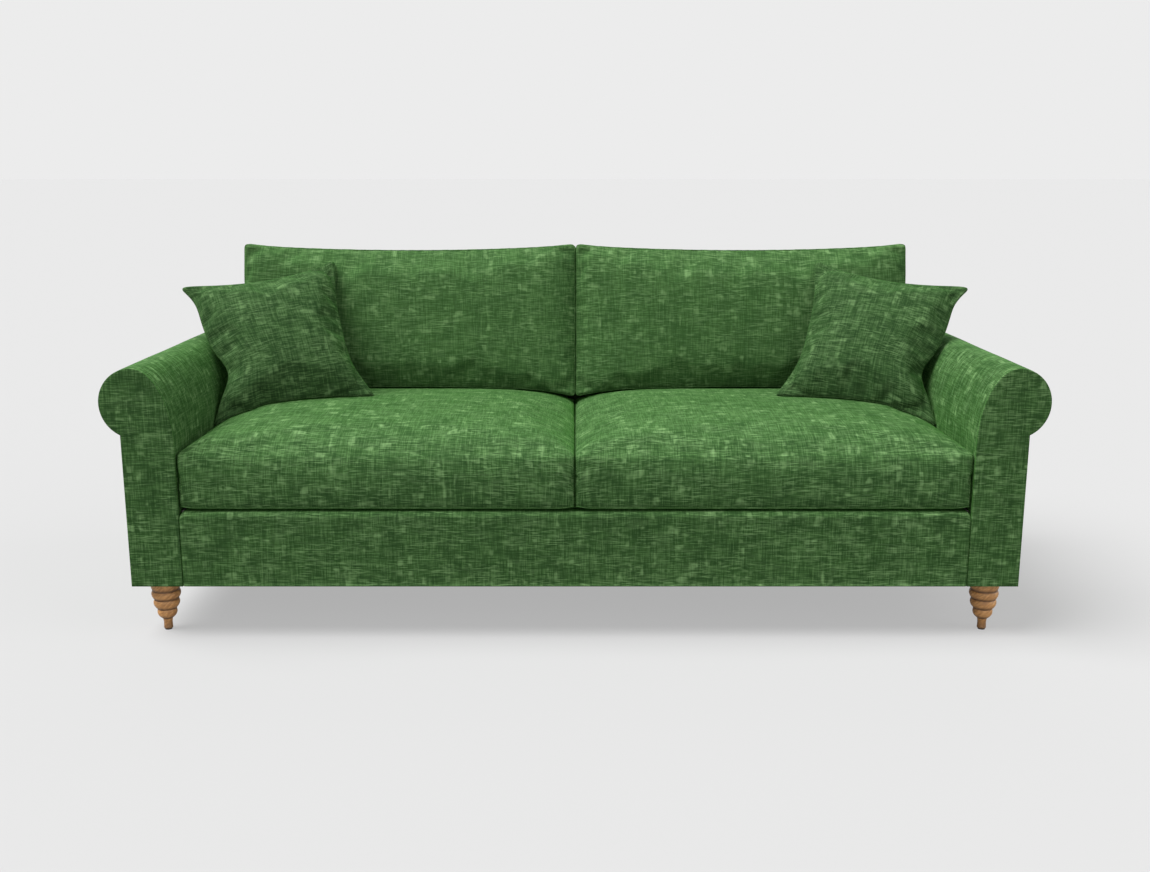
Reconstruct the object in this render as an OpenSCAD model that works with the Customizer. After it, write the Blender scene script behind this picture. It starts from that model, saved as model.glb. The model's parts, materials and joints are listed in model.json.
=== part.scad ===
// Two-seat scroll-arm sofa with loose seat, back and scatter cushions on turned legs.
// Millimetres. X runs along the sofa, -Y is the front, +Z is up.
// The origin is on the floor, in the middle of the sofa's footprint.

/* [Overall] */
// Width over the two arm rolls
sofa_w = 2310; // [1900:10:2700]
// Depth from the arm fronts to the outside back
sofa_d = 960; // [920:5:1040]
// Height of the base's underside above the floor
leg_h = 135; // [115:1:160]
// Height of the front border, from the base's underside to the deck
border_h = 192; // [170:1:230]
// Height of the back frame's padded top above the floor
back_h = 805; // [760:5:860]

/* [Arms] */
// Height of the arm rolls' top above the floor
arm_h = 686; // [660:1:720]
// Radius of the arm roll's outer half
roll_r = 83; // [70:1:90]
// Distance that the roll stands out past the outside arm panel
roll_overhang = 47; // [30:1:55]
// Width of the arm at its base, over the fabric
arm_w = 128; // [120:1:150]
// Height of the inner shoulder's curve, below the roll's top
shoulder_h = 190; // [160:1:200]
// Thickness of the front and back facings of the arms
facing_t = 10; // [6:0.5:14]

/* [Padding and boards] */
// Thickness of the cover fabric
cover_t = 2; // [1.5:0.1:3]
// Thickness of the arms' foam
arm_foam_t = 22; // [16:1:28]
// Thickness of the foam on the inside back
back_foam_t = 20; // [14:1:26]
// Thickness of the wadding on the front border
border_foam_t = 26; // [18:1:32]
// Thickness of the insulator pad on the springs
deck_pad_t = 14; // [10:1:20]
// Thickness of the hardboard liners
liner_t = 3; // [2.5:0.1:4]
// Thickness of the scroll-shaped arm boards
arm_board_t = 18; // [15:1:22]
// Thickness of the hardwood rails and posts
rail_t = 25; // [22:1:30]
// Thickness of the dust cover under the base
dust_t = 1; // [0.8:0.1:1.5]
// Depth of the border fabric's lip on the deck
lip_d = 110; // [80:1:150]

/* [Back frame] */
// Rake of the inside back, from upright
back_rake = 9; // [6:0.5:11]
// Thickness of the back frame at deck height, over the fabric
back_t = 122; // [115:1:130]
// Height of the two cross rails in the back
back_rail_h = 50; // [40:1:60]
// Width of a webbing strap
strap_w = 50; // [40:1:60]
// Thickness of a webbing strap
strap_t = 2; // [1.5:0.1:2.5]
// Distance between the middles of the straps
strap_pitch = 200; // [160:5:260]

/* [Springs] */
// Thickness of the zigzag spring's wire
wire_t = 4; // [3:0.1:5]
// Width of a zigzag spring
spring_w = 52; // [46:1:60]
// Distance between the middles of the springs
spring_pitch = 160; // [120:5:200]
// Distance from one cross bar of a spring to the next
bar_pitch = 34; // [26:1:38]
// Thickness of a spring clip's steel
clip_t = 1.2; // [1:0.1:2]

/* [Legs] */
// Distance of a leg's axis in from the outside arm panel
leg_in = 63; // [60:1:64]
// Distance of a leg's axis behind the front, and ahead of the back
leg_back = 66; // [64:1:80]
// Radius of the top ring
ring1_r = 37.5; // [35:0.5:42]
// Radius of the second ring
ring2_r = 36.5; // [34:0.5:40]
// Radius of the third ring
ring3_r = 33; // [30:0.5:36]
// Radius of the fourth ring
ring4_r = 25; // [22:0.5:28]
// Radius of the neck
neck_r = 10.5; // [9.5:0.1:12]
// Radius of the foot
foot_r = 11.5; // [10.5:0.1:14]
// Radius of the glide under the foot
glide_r = 9; // [7:0.1:10]
// Thickness of the glide
glide_t = 3; // [2:0.1:5]
// Radius of the M8 hanger bolt
bolt_r = 4; // [3:0.5:5]
// Depth of the bolt in the leg
bolt_in_leg = 30; // [25:1:40]
// Height of the hardwood block that takes a leg
leg_block_h = 45; // [36:1:60]

/* [Seat cushions] */
// Thickness of a seat cushion at its edge
seat_t = 151; // [130:1:180]
// Height of the seat cushion's dome above its edge
seat_dome = 38; // [20:1:50]
// Height over which its top edge rounds off
seat_round = 20; // [12:1:40]
// Distance of the seat cushion's front behind the arm fronts
seat_front = 2; // [1:1:20]

/* [Back cushions] */
// Length of a back cushion up its slope
back_cushion_h = 448; // [420:1:500]
// Thickness of a back cushion at its edge
back_cushion_t = 146; // [120:1:160]
// Height of the back cushion's dome above its front edge
back_dome = 24; // [12:1:32]
// Height over which its front edge rounds off
back_round = 18; // [12:1:30]
// Distance that its outer side widens by, above the arm's shoulder
back_flare = 12; // [0:1:16]

/* [Scatter cushions] */
// Length of a scatter cushion's side, ear to ear
scatter_w = 442; // [400:1:450]
// Thickness of a scatter cushion in its middle
scatter_t = 132; // [100:1:150]
// Distance that its sides draw in between the ears
scatter_pull = 30; // [14:1:36]
// Extra that its outer side draws in where the arm presses it
scatter_waist = 32; // [10:1:40]
// Angle by which it leans back
scatter_lean = 39; // [34:1:42]
// Angle by which it turns towards the sofa's middle
scatter_turn = 17; // [10:1:22]
// Angle by which it tips in its own plane
scatter_tip = 9; // [0:0.5:12]

/* [Clearances] */
// Gap between a cushion and what it rests on
rest_gap = 0.3; // [0.2:0.1:0.6]
// Gap between a cushion's side and its neighbour
side_gap = 1; // [0.5:0.5:5]
// Gap between a scatter cushion and the arm or back cushion that it leans on
lean_gap = 5; // [4:0.5:8]
// Clearance round a bolt in wood
bolt_gap = 0.3; // [0.2:0.05:0.5]

/* [Hidden] */
$fn = 64;

// Depths run from the arm fronts, at 0, to the outside back, at sofa_d.
function y_at(depth) = depth - sofa_d / 2;

// Main places, all worked out from the sizes above
outer_x = sofa_w / 2 - roll_overhang;
inner_x = outer_x - arm_w;
roll_x = sofa_w / 2 - roll_r;
roll_z = arm_h - roll_r;
shoulder_z = arm_h - shoulder_h;
deck_z = leg_h + border_h;
frame_z = leg_h + dust_t;
pad_z = deck_z - cover_t - deck_pad_t;
rail_z = pad_z - clip_t - wire_t;
arm_foam_in = cover_t + arm_foam_t;
arm_board_in = arm_foam_in + liner_t;
arm_board_out = cover_t + liner_t;

// Depths of the base's layers
front_board_d = facing_t;
front_rail_d = facing_t + arm_board_t;
front_rail_end = front_rail_d + rail_t;
back_board_d = sofa_d - facing_t - arm_board_t;
back_rail_d = back_board_d - rail_t;

// The raked inside back: its fabric meets the deck at back_t from the outside back.
rake_foot = sofa_d - back_t;
function rake_d(z, layer) = rake_foot + (z - deck_z) * tan(back_rake) + layer / cos(back_rake);
back_foam_in = cover_t + back_foam_t;
back_post_in = back_foam_in + strap_t;
back_board_front = sofa_d - cover_t - liner_t;
back_top_z = back_h - cover_t - back_foam_t;
back_post_z = back_top_z - rail_t;
back_side = inner_x - cover_t;

// Legs
leg_x = outer_x - leg_in;
leg_depths = [leg_back, sofa_d - leg_back];
leg_block_out = outer_x - arm_board_out - rail_t;
leg_block_in = inner_x + arm_board_in + rail_t;
leg_block_d = 78;
tee_flange_r = 12;
tee_flange_t = 1.5;
tee_barrel_wall = 1.2;
tee_barrel_h = 12;
bolt_over = 4;

// Copies for the left side, at -X, are mirror images of the right side.
module side(s) {
    mirror([s < 0 ? 1 : 0, 0, 0]) children();
}
module both_sides() {
    side(1) children();
    side(-1) children();
}
// An X-Z outline, extruded over a depth
module along_depth(from, to) {
    translate([0, y_at(to), 0]) rotate([90, 0, 0]) linear_extrude(to - from) children();
}
// A depth-Z outline, extruded along X
module along_width(from, to) {
    translate([from, y_at(0), 0]) rotate([90, 0, 90]) linear_extrude(to - from) children();
}
// A box given by its corners, with its depths counted from the front
module block(x, depth, z) {
    translate([x[0], y_at(depth[0]), z[0]]) cube([x[1] - x[0], depth[1] - depth[0], z[1] - z[0]]);
}

// Colours, as the photograph shows them
velvet = [0.26, 0.38, 0.21];
lining = [0.16, 0.17, 0.16];
foam = [0.93, 0.88, 0.70];
beech = [0.78, 0.62, 0.42];
board = [0.55, 0.42, 0.28];
oak = [0.57, 0.41, 0.25];
steel = [0.60, 0.61, 0.63];

// Arm section: the inner shoulder rises from the arm's face to the roll's top, and the roll's
// outer half falls back to the outside panel. Each outline lies "inset" inside the fabric.
shoulder_steps = 12;
roll_steps = 24;
function shoulder_point(a, inset) = [
    roll_x - (roll_x - inner_x - inset) * cos(a),
    shoulder_z + (shoulder_h - inset) * sin(a)
];
function roll_point(k, r) = [
    roll_x + r * sin(180 * k / roll_steps),
    roll_z + r * cos(180 * k / roll_steps)
];
// The roll's points, cut off where it comes back to an upright at x
function roll_points(x, r) =
    let (
        last = max([for (k = [roll_steps / 2:roll_steps - 1]) if (roll_point(k, r)[0] > x) k]),
        p = roll_point(last, r), q = roll_point(last + 1, r)
    )
        concat(
            [for (k = [1:last]) roll_point(k, r)],
            [p + (q - p) * (p[0] - x) / (p[0] - q[0])]
        );
function arm_curve(inset, out) = concat(
    [for (i = [0:shoulder_steps]) shoulder_point(90 * i / shoulder_steps, inset)],
    roll_points(outer_x - out, roll_r - inset)
);
function curve_end_z(inset, out) = let (c = arm_curve(inset, out)) c[len(c) - 1][1];
function backwards(list) = [for (i = [len(list) - 1:-1:0]) list[i]];
// One layer of the roll, from the inner shoulder round to the outside arm panel
module arm_roll_layer(from, to, out) {
    polygon(concat(arm_curve(from, out), backwards(arm_curve(to, out))));
}
// The whole arm section down to a height, for boards and facings
module arm_section(inset, out, z) {
    polygon(concat(arm_curve(inset, out), [[outer_x - out, z], [inner_x + inset, z]]));
}

// Base frame
module front_seat_rail() {
    color(beech)
        block([-outer_x + arm_board_out, outer_x - arm_board_out], [front_rail_d, front_rail_end],
            [frame_z, rail_z]);
}
module back_seat_rail() {
    color(beech)
        block([-outer_x + arm_board_out, outer_x - arm_board_out], [back_rail_d, back_board_d],
            [frame_z, rail_z]);
}
module inner_side_rails() {
    x = inner_x + arm_board_in;
    color(beech) both_sides()
        block([x, x + rail_t], [front_rail_end, back_rail_d], [frame_z, rail_z]);
}
module outer_side_rails() {
    x = outer_x - arm_board_out - rail_t;
    color(beech) both_sides()
        block([x, x + rail_t], [front_rail_end, back_rail_d], [frame_z, (frame_z + rail_z) / 2]);
}
stretcher_w = 45;
module centre_stretcher() {
    color(beech)
        block([-stretcher_w / 2, stretcher_w / 2], [front_rail_end, back_rail_d],
            [frame_z, (frame_z + rail_z) / 2]);
}
module leg_blocks() {
    depths = [[front_rail_end, front_rail_end + leg_block_d], [back_rail_d - leg_block_d, back_rail_d]];
    color(beech) both_sides() for (i = [0, 1]) difference() {
        block([leg_block_in, leg_block_out], depths[i], [frame_z, frame_z + leg_block_h]);
        translate([leg_x, y_at(leg_depths[i]), 0]) {
            translate([0, 0, leg_h]) cylinder(h = leg_block_h, r = bolt_r + bolt_gap);
            translate([0, 0, frame_z + leg_block_h - tee_barrel_h])
                cylinder(h = tee_barrel_h + 1, r = bolt_r + tee_barrel_wall);
        }
    }
}

// Arm frame
module arm_front_boards() {
    color(beech) both_sides() along_depth(front_board_d, front_rail_d)
        arm_section(arm_board_in, arm_board_out, frame_z);
}
module arm_back_boards() {
    color(beech) both_sides() along_depth(back_board_d, sofa_d - facing_t)
        arm_section(arm_board_in, arm_board_out, frame_z);
}
arm_rail_w = 64;
arm_rail_h = 40;
module arm_top_rails() {
    color(beech) both_sides()
        block([roll_x - arm_rail_w / 2, roll_x + arm_rail_w / 2], [front_rail_d, back_board_d],
            [roll_z - arm_rail_h / 2, roll_z + arm_rail_h / 2]);
}
module arm_roll_liners() {
    color(board) both_sides() along_depth(facing_t, sofa_d - facing_t)
        arm_roll_layer(arm_foam_in, arm_board_in, arm_board_out);
}
module arm_inner_liners() {
    color(board) both_sides()
        block([inner_x + arm_foam_in, inner_x + arm_board_in], [facing_t, sofa_d - facing_t],
            [rail_z, shoulder_z]);
}
// The outer liner stops where the roll's liner comes back to it.
module arm_outer_liners() {
    color(board) both_sides()
        block([outer_x - arm_board_out, outer_x - cover_t], [facing_t, sofa_d - facing_t],
            [frame_z, curve_end_z(arm_foam_in, arm_board_out)]);
}

// Back frame
module back_post_outline(bottom) {
    polygon([
        [rake_d(bottom, back_post_in), bottom],
        [back_board_front, bottom],
        [back_board_front, back_post_z],
        [rake_d(back_post_z, back_post_in), back_post_z]
    ]);
}
module back_post(s) {
    color(beech) side(s) along_width(back_side - rail_t, back_side) {
        back_post_outline(rail_z);
        translate([back_rail_d - rail_t, frame_z]) square([rail_t, rail_z - frame_z + rail_t]);
    }
}
// A middle post stands between two springs, and its notch for the lower rail is open in front.
notch_past = 2;
middle_post_x = spring_pitch * (floor(inner_x / 3 / spring_pitch) + 0.5);
module back_middle_posts() {
    color(beech) both_sides() along_width(middle_post_x - rail_t / 2, middle_post_x + rail_t / 2)
        difference() {
            back_post_outline(rail_z);
            raked_bar(lower_rail_z, lower_rail_z + back_rail_h, back_post_in - notch_past,
                back_post_in + rail_t);
        }
}
// A bar that follows the rake, as a depth-Z outline
module raked_bar(z0, z1, from, to) {
    polygon([
        [rake_d(z0, from), z0], [rake_d(z0, to), z0], [rake_d(z1, to), z1], [rake_d(z1, from), z1]
    ]);
}
lower_rail_up = 8;
lower_rail_z = deck_z + lower_rail_up;
module back_lower_rail() {
    color(beech) along_width(-back_side + rail_t, back_side - rail_t)
        raked_bar(lower_rail_z, lower_rail_z + back_rail_h, back_post_in, back_post_in + rail_t);
}
module back_top_rail() {
    color(beech) along_width(-back_side, back_side) polygon([
        [rake_d(back_post_z, back_post_in), back_post_z],
        [back_board_front, back_post_z],
        [back_board_front, back_top_z],
        [rake_d(back_top_z, back_post_in), back_top_z]
    ]);
}
module outside_back_board() {
    color(board)
        block([-back_side, back_side], [back_board_front, sofa_d - cover_t], [frame_z, back_top_z]);
}

// Zigzag springs run from the front rail to the back rail, one cross bar on each.
spring_from = front_rail_d + rail_t / 2;
spring_to = back_rail_d + rail_t / 2;
bars = 2 * floor((spring_to - spring_from) / bar_pitch / 2) + 1;
bar_step = (spring_to - spring_from) / (bars - 1);
spring_count = 2 * floor((inner_x - spring_w) / spring_pitch) + 1;
function spring_x(i) = (i - (spring_count - 1) / 2) * spring_pitch;
turn_r = bar_step / 2;
// One edge of the wire: e is +1 or -1 times half its thickness, and each turn has four points.
function spring_edge(e) = [
    for (k = [0:bars - 2])
        let (hand = k % 2 == 0 ? 1 : -1)
            for (a = [-90:60:90])
                [
                    hand * (spring_w / 2 - turn_r) + hand * (turn_r + hand * e) * cos(a),
                    (k + 0.5) * bar_step + (turn_r + hand * e) * sin(a)
                ]
];
module spring_outline() {
    e = wire_t / 2;
    end = spring_w / 2 - turn_r;
    last = (bars - 1) * bar_step;
    polygon(concat(
        [[-end, -e]],
        spring_edge(e),
        [[end, last - e], [end, last + e]],
        backwards(spring_edge(-e)),
        [[-end, e]]
    ));
}
module seat_springs() {
    color(steel) for (i = [0:spring_count - 1])
        translate([spring_x(i), y_at(spring_from), rail_z]) linear_extrude(wire_t) spring_outline();
}
// Each clip holds one end bar down on its rail, on the straight part between the turns.
clip_out = spring_w / 2 - turn_r - wire_t / 2;
module spring_clips() {
    color(steel) for (i = [0:spring_count - 1]) for (depth = [spring_from, spring_to])
        difference() {
            block([spring_x(i) - clip_out, spring_x(i) + clip_out],
                [depth - wire_t / 2 - clip_t, depth + wire_t / 2 + clip_t],
                [rail_z, rail_z + wire_t + clip_t]);
            block([spring_x(i) - spring_w, spring_x(i) + spring_w],
                [depth - wire_t / 2, depth + wire_t / 2], [rail_z - 1, rail_z + wire_t]);
        }
}
strap_count = 2 * floor((back_side - strap_w / 2) / strap_pitch) + 1;
module back_webbing() {
    color(board) for (i = [0:strap_count - 1])
        let (x = (i - (strap_count - 1) / 2) * strap_pitch)
            along_width(x - strap_w / 2, x + strap_w / 2)
                raked_bar(lower_rail_z, back_top_z, back_foam_in, back_post_in);
}

// Padding
module arm_roll_padding(s) {
    color(foam) side(s) along_depth(facing_t, sofa_d - facing_t)
        arm_roll_layer(cover_t, arm_foam_in, cover_t);
}
module inside_arm_padding(s) {
    color(foam) side(s)
        block([inner_x + cover_t, inner_x + arm_foam_in], [facing_t, sofa_d - facing_t],
            [rail_z, shoulder_z]);
}
border_round = 14;
module border_outline(inset) {
    top = deck_z - inset;
    r = border_round - inset;
    translate([inset + r, top - r]) circle(r);
    translate([inset, leg_h]) square([front_rail_d - inset, top - r - leg_h]);
    translate([inset + r, leg_h]) square([front_rail_d - inset - r, top - leg_h]);
}
module border_padding() {
    color(foam) along_width(-inner_x, inner_x) difference() {
        border_outline(cover_t);
        translate([cover_t + border_foam_t, leg_h - 1]) square([front_rail_d, border_h + 2]);
        translate([0, leg_h - 1]) square([front_rail_d, dust_t + 1]);
    }
}
module deck_pad() {
    d = min(cover_t + border_foam_t, front_rail_d);
    color(foam) along_width(-inner_x, inner_x) polygon([
        [d, pad_z],
        [rake_d(pad_z, 0), pad_z],
        [rake_d(pad_z + deck_pad_t, 0), pad_z + deck_pad_t],
        [d, pad_z + deck_pad_t]
    ]);
}
module back_padding() {
    color(foam) along_width(-back_side, back_side) polygon(concat(
        [
            [sofa_d - cover_t, back_top_z],
            [rake_d(back_top_z, back_foam_in), back_top_z],
            [rake_d(pad_z, back_foam_in), pad_z],
            [rake_d(pad_z, cover_t), pad_z]
        ],
        back_cap(cover_t)
    ));
}
// Line over the padded top of the back, from the inside back to the outside back
cap_r = 11;
cap_z = back_h - cap_r;
cap_step = 15;
function back_cap(inset) =
    let (r = cap_r - inset, front = rake_d(cap_z, inset) + r, rear = sofa_d - cap_r)
        concat(
            [for (a = [0:cap_step:90]) [front - r * cos(a), cap_z + r * sin(a)]],
            [for (a = [90:-cap_step:0]) [rear + r * cos(a), cap_z + r * sin(a)]]
        );

// Covers
module arm_cover(s) {
    color(velvet) side(s) along_depth(facing_t, sofa_d - facing_t) polygon(concat(
        [[inner_x, rail_z]],
        arm_curve(0, cover_t),
        backwards(arm_curve(cover_t, cover_t)),
        [[inner_x + cover_t, rail_z]]
    ));
}
module arm_facing(s, from) {
    color(velvet) side(s) along_depth(from, from + facing_t) arm_section(0, 0, leg_h);
}
module arm_back_facings() {
    arm_facing(1, sofa_d - facing_t);
    arm_facing(-1, sofa_d - facing_t);
}
module outside_arm_cover(s) {
    color(velvet) side(s) block([outer_x - cover_t, outer_x], [facing_t, sofa_d - facing_t],
        [frame_z, curve_end_z(0, cover_t)]);
}
module front_border_cover() {
    color(velvet) along_width(-inner_x, inner_x) {
        difference() {
            border_outline(0);
            border_outline(cover_t);
            translate([front_rail_d / 2, leg_h - 1]) square([front_rail_d, border_h - cover_t]);
        }
        translate([front_rail_d, deck_z - cover_t]) square([lip_d - front_rail_d, cover_t]);
    }
}
module deck_cloth() {
    color(lining) along_width(-inner_x, inner_x) polygon([
        [lip_d, deck_z - cover_t],
        [rake_d(deck_z - cover_t, 0), deck_z - cover_t],
        [rake_d(deck_z, 0), deck_z],
        [lip_d, deck_z]
    ]);
}
module inside_back_cover() {
    color(velvet) {
        along_width(-inner_x, inner_x) polygon(concat(
            [[rake_d(pad_z, cover_t), pad_z], [rake_d(pad_z, 0), pad_z]],
            back_cap(0),
            backwards(back_cap(cover_t))
        ));
        both_sides() along_width(back_side, inner_x) polygon(concat(
            [[sofa_d - cover_t, pad_z], [rake_d(pad_z, cover_t / 2), pad_z]],
            back_cap(cover_t / 2),
            [[sofa_d - cover_t, cap_z]]
        ));
    }
}
module outside_back_cover() {
    color(velvet) block([-inner_x, inner_x], [sofa_d - cover_t, sofa_d], [leg_h, cap_z]);
}
module dust_cover() {
    color(lining) difference() {
        block([-outer_x, outer_x], [facing_t, sofa_d - facing_t], [leg_h, frame_z]);
        for (x = [-leg_x, leg_x]) for (depth = leg_depths)
            translate([x, y_at(depth), leg_h - 1]) cylinder(h = dust_t + 2, r = bolt_r + bolt_gap);
    }
}

// Turned legs: four rings that swell just under their top edge and taper down to the next groove.
leg_rings = [
    // top as a share of the leg's height, radius at the top, widest radius, radius at the bottom
    [1.00, ring1_r - 1, ring1_r, ring2_r - 2.5],
    [0.74, ring2_r - 2, ring2_r, ring3_r - 1.5],
    [0.575, ring3_r - 1.5, ring3_r, ring4_r],
    [0.39, ring4_r - 0.5, ring4_r, neck_r + 3.5]
];
neck_top = 0.2;
ring_steps = 5;
function ring_radius(t, ring) =
    t < 0.3 ? ring[1] + (ring[2] - ring[1]) * sin(300 * t)
        : ring[3] + (ring[2] - ring[3]) * pow(cos(90 * (t - 0.3) / 0.7), 0.8);
function leg_profile() = concat(
    [[0, leg_h]],
    [
        for (k = [0:3])
            let (top = leg_rings[k][0], low = k < 3 ? leg_rings[k + 1][0] : neck_top)
                for (i = [0:ring_steps - 1])
                    let (t = i / ring_steps)
                        [ring_radius(t, leg_rings[k]), leg_h * (top + (low - top) * t)]
    ],
    [
        [neck_r + 3.5, leg_h * neck_top], [neck_r + 1, leg_h * 0.13], [neck_r, leg_h * 0.085],
        [foot_r - 0.3, leg_h * 0.05], [foot_r, glide_t + 3], [glide_r + 0.5, glide_t], [0, glide_t]
    ]
);
module leg(x, depth) {
    color(oak) translate([x, y_at(depth), 0]) difference() {
        rotate_extrude($fn = 96) polygon(leg_profile());
        translate([0, 0, leg_h - bolt_in_leg]) cylinder(h = bolt_in_leg + 1, r = bolt_r);
    }
}
module at_each_leg() {
    for (x = [-leg_x, leg_x]) for (depth = leg_depths) translate([x, y_at(depth), 0]) children();
}
module leg_bolts() {
    top = frame_z + leg_block_h + tee_flange_t + bolt_over;
    color(steel) at_each_leg()
        translate([0, 0, leg_h - bolt_in_leg]) cylinder(h = top - leg_h + bolt_in_leg, r = bolt_r);
}
module leg_tee_nuts() {
    top = frame_z + leg_block_h;
    color(steel) at_each_leg() difference() {
        union() {
            translate([0, 0, top]) cylinder(h = tee_flange_t, r = tee_flange_r);
            translate([0, 0, top - tee_barrel_h])
                cylinder(h = tee_barrel_h, r = bolt_r + tee_barrel_wall);
        }
        translate([0, 0, top - tee_barrel_h - 1])
            cylinder(h = tee_barrel_h + tee_flange_t + 2, r = bolt_r);
    }
}
module foot_glides() {
    color(lining) at_each_leg() cylinder(h = glide_t, r = glide_r);
}

// Soft forms. A grid runs from -1 to 1 both ways and is closer set near the edges.
function grid_at(i, n) = 0.75 * sin(90 * (2 * i / n - 1)) + 0.25 * (2 * i / n - 1);
// Rounds the corners of the square grid; a higher power gives a smaller corner.
function round_corner(u, v, power) =
    let (m = max(abs(u), abs(v)), s = pow(pow(abs(u), power) + pow(abs(v), power), 1 / power))
        m == 0 ? [0, 0] : [u * m / s, v * m / s];
// How far the edge's rounding and the dome have risen, from 0 at the edge to 1 in the middle
function edge_rise(u, v) = sqrt(max(0, (1 - pow(abs(u), 10)) * (1 - pow(abs(v), 10))));
function dome_rise(u, v, shape) =
    pow((1 - pow(abs(u), shape[0])) * (1 - pow(abs(v), shape[0])), shape[1]);
// Indexes of a grid's border, once round
function border_ids(nu, nv) = concat(
    [for (i = [0:nu - 1]) i * (nv + 1)],
    [for (j = [0:nv - 1]) nu * (nv + 1) + j],
    [for (i = [nu:-1:1]) i * (nv + 1) + nv],
    [for (j = [nv:-1:1]) j]
);
function grid_faces(nu, nv, start, up) = [
    for (i = [0:nu - 1]) for (j = [0:nv - 1])
        let (
            a = start + i * (nv + 1) + j, b = a + 1,
            c = a + nv + 2, d = a + nv + 1
        )
            for (f = up ? [[a, b, c], [a, c, d]] : [[a, c, b], [a, d, c]]) f
];

// A cushion's form is a list of six lists: its width, length and edge thickness; the top's dome
// and edge rounding; the base's; how far its sides and ends draw in between the corners; the
// power of its corners and the swell of its edge band; and the dome's shape.
cushion_nu = 16;
cushion_nv = 12;
cushion_bands = 3;
function cushion_xy(u, v, form) =
    let (
        p = round_corner(u, v, form[4][0]),
        half_w = form[0][0] / 2 - form[4][1] - form[3][0] * (1 - p[1] * p[1]),
        half_l = form[0][1] / 2 - form[4][1] - form[3][1] * (1 - p[0] * p[0])
    )
        [p[0] * half_w, p[1] * half_l];
function cushion_face(form, side, sign_z) = [
    for (i = [0:cushion_nu]) for (j = [0:cushion_nv])
        let (
            u = grid_at(i, cushion_nu), v = grid_at(j, cushion_nv), p = cushion_xy(u, v, form),
            edge = form[0][2] / 2 - side[1],
            z = edge + side[1] * edge_rise(u, v) + side[0] * dome_rise(u, v, form[5])
        )
            [p[0], p[1], sign_z * z]
];
function cushion_points(form) =
    let (
        top = cushion_face(form, form[1], 1), low = cushion_face(form, form[2], -1),
        ids = border_ids(cushion_nu, cushion_nv)
    )
        concat(top, low, [
            for (b = [1:cushion_bands - 1]) for (id = ids)
                let (t = b / cushion_bands, p = top[id], q = low[id], out = form[4][1] * sin(180 * t))
                    [
                        p[0] * (1 + out * 2 / form[0][0]),
                        p[1] * (1 + out * 2 / form[0][1]),
                        p[2] + (q[2] - p[2]) * t
                    ]
        ]);
function cushion_triangles() =
    let (
        count = (cushion_nu + 1) * (cushion_nv + 1), ids = border_ids(cushion_nu, cushion_nv),
        m = len(ids),
        rows = concat(
            [ids],
            [for (b = [1:cushion_bands - 1]) [for (k = [0:m - 1]) 2 * count + (b - 1) * m + k]],
            [[for (id = ids) id + count]]
        )
    )
        concat(
            grid_faces(cushion_nu, cushion_nv, 0, true),
            grid_faces(cushion_nu, cushion_nv, count, false),
            [
                for (b = [0:cushion_bands - 1]) for (k = [0:m - 1])
                    let (n = (k + 1) % m)
                        for (f = [
                            [rows[b][k], rows[b][n], rows[b + 1][n]],
                            [rows[b][k], rows[b + 1][n], rows[b + 1][k]]
                        ]) f
            ]
        );
module soft_form(points) {
    polyhedron(points, cushion_triangles(), convexity = 4);
}

// Turning points about the axes
function turn_x(p, a) = [p[0], p[1] * cos(a) - p[2] * sin(a), p[1] * sin(a) + p[2] * cos(a)];
function turn_y(p, a) = [p[0] * cos(a) + p[2] * sin(a), p[1], p[2] * cos(a) - p[0] * sin(a)];
function turn_z(p, a) = [p[0] * cos(a) - p[1] * sin(a), p[0] * sin(a) + p[1] * cos(a), p[2]];

// Seat cushions: each runs from the arm to the middle, and back to the inside back.
seat_w = inner_x - 2 * side_gap;
seat_d = rake_foot - side_gap - seat_front;
seat_base_round = 4;
seat_corner = [80, 1.5];
seat_dome_shape = [4, 0.8];
seat_form = [
    [seat_w, seat_d, seat_t], [seat_dome, seat_round], [0, seat_base_round], [1, 3], seat_corner,
    seat_dome_shape
];
seat_mid_x = inner_x / 2;
seat_mid_d = seat_front + seat_d / 2;
seat_mid_z = deck_z + rest_gap + seat_t / 2;
module seat_cushion(s) {
    color(velvet) translate([s * seat_mid_x, y_at(seat_mid_d), seat_mid_z]) difference() {
        soft_form(cushion_points(seat_form));
        seat_core_block();
    }
}
seat_wrap = 62;
module seat_core_block() {
    cube([seat_w - 2 * seat_wrap, seat_d - 2 * seat_wrap, seat_t - seat_round], center = true);
}
module seat_core(s) {
    color(foam) translate([s * seat_mid_x, y_at(seat_mid_d), seat_mid_z]) seat_core_block();
}
// Height of a seat cushion's top at a place on it, for what rests there
function seat_top_at(x, y) =
    let (
        u = min(1, abs(abs(x) - seat_mid_x) / (seat_w / 2)),
        v = min(1, abs(y - y_at(seat_mid_d)) / (seat_d / 2))
    )
        seat_mid_z + seat_t / 2 - seat_round + seat_round * edge_rise(u, v)
            + seat_dome * dome_rise(u, v, seat_dome_shape);

// Back cushions: each stands on its seat cushion and leans on the inside back.
back_cushion_w = inner_x - 2 * side_gap;
back_corner = [60, 2];
back_form = [
    [back_cushion_w, back_cushion_h, back_cushion_t], [back_dome, back_round], [0, back_round],
    [5, 15], back_corner, [3, 1]
];
// Local points have their length up the slope along Y and their front along Z.
function back_flared(p) =
    p[0] <= 0 ? p
        : [
            p[0] * (1 + 2 * back_flare / back_cushion_w * min(1, 1 + 2 * p[1] / back_cushion_h)),
            p[1],
            p[2]
        ];
back_cushion_points = [for (p = cushion_points(back_form)) turn_x(back_flared(p), 90 - back_rake)];
back_mid_x = inner_x / 2;
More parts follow.
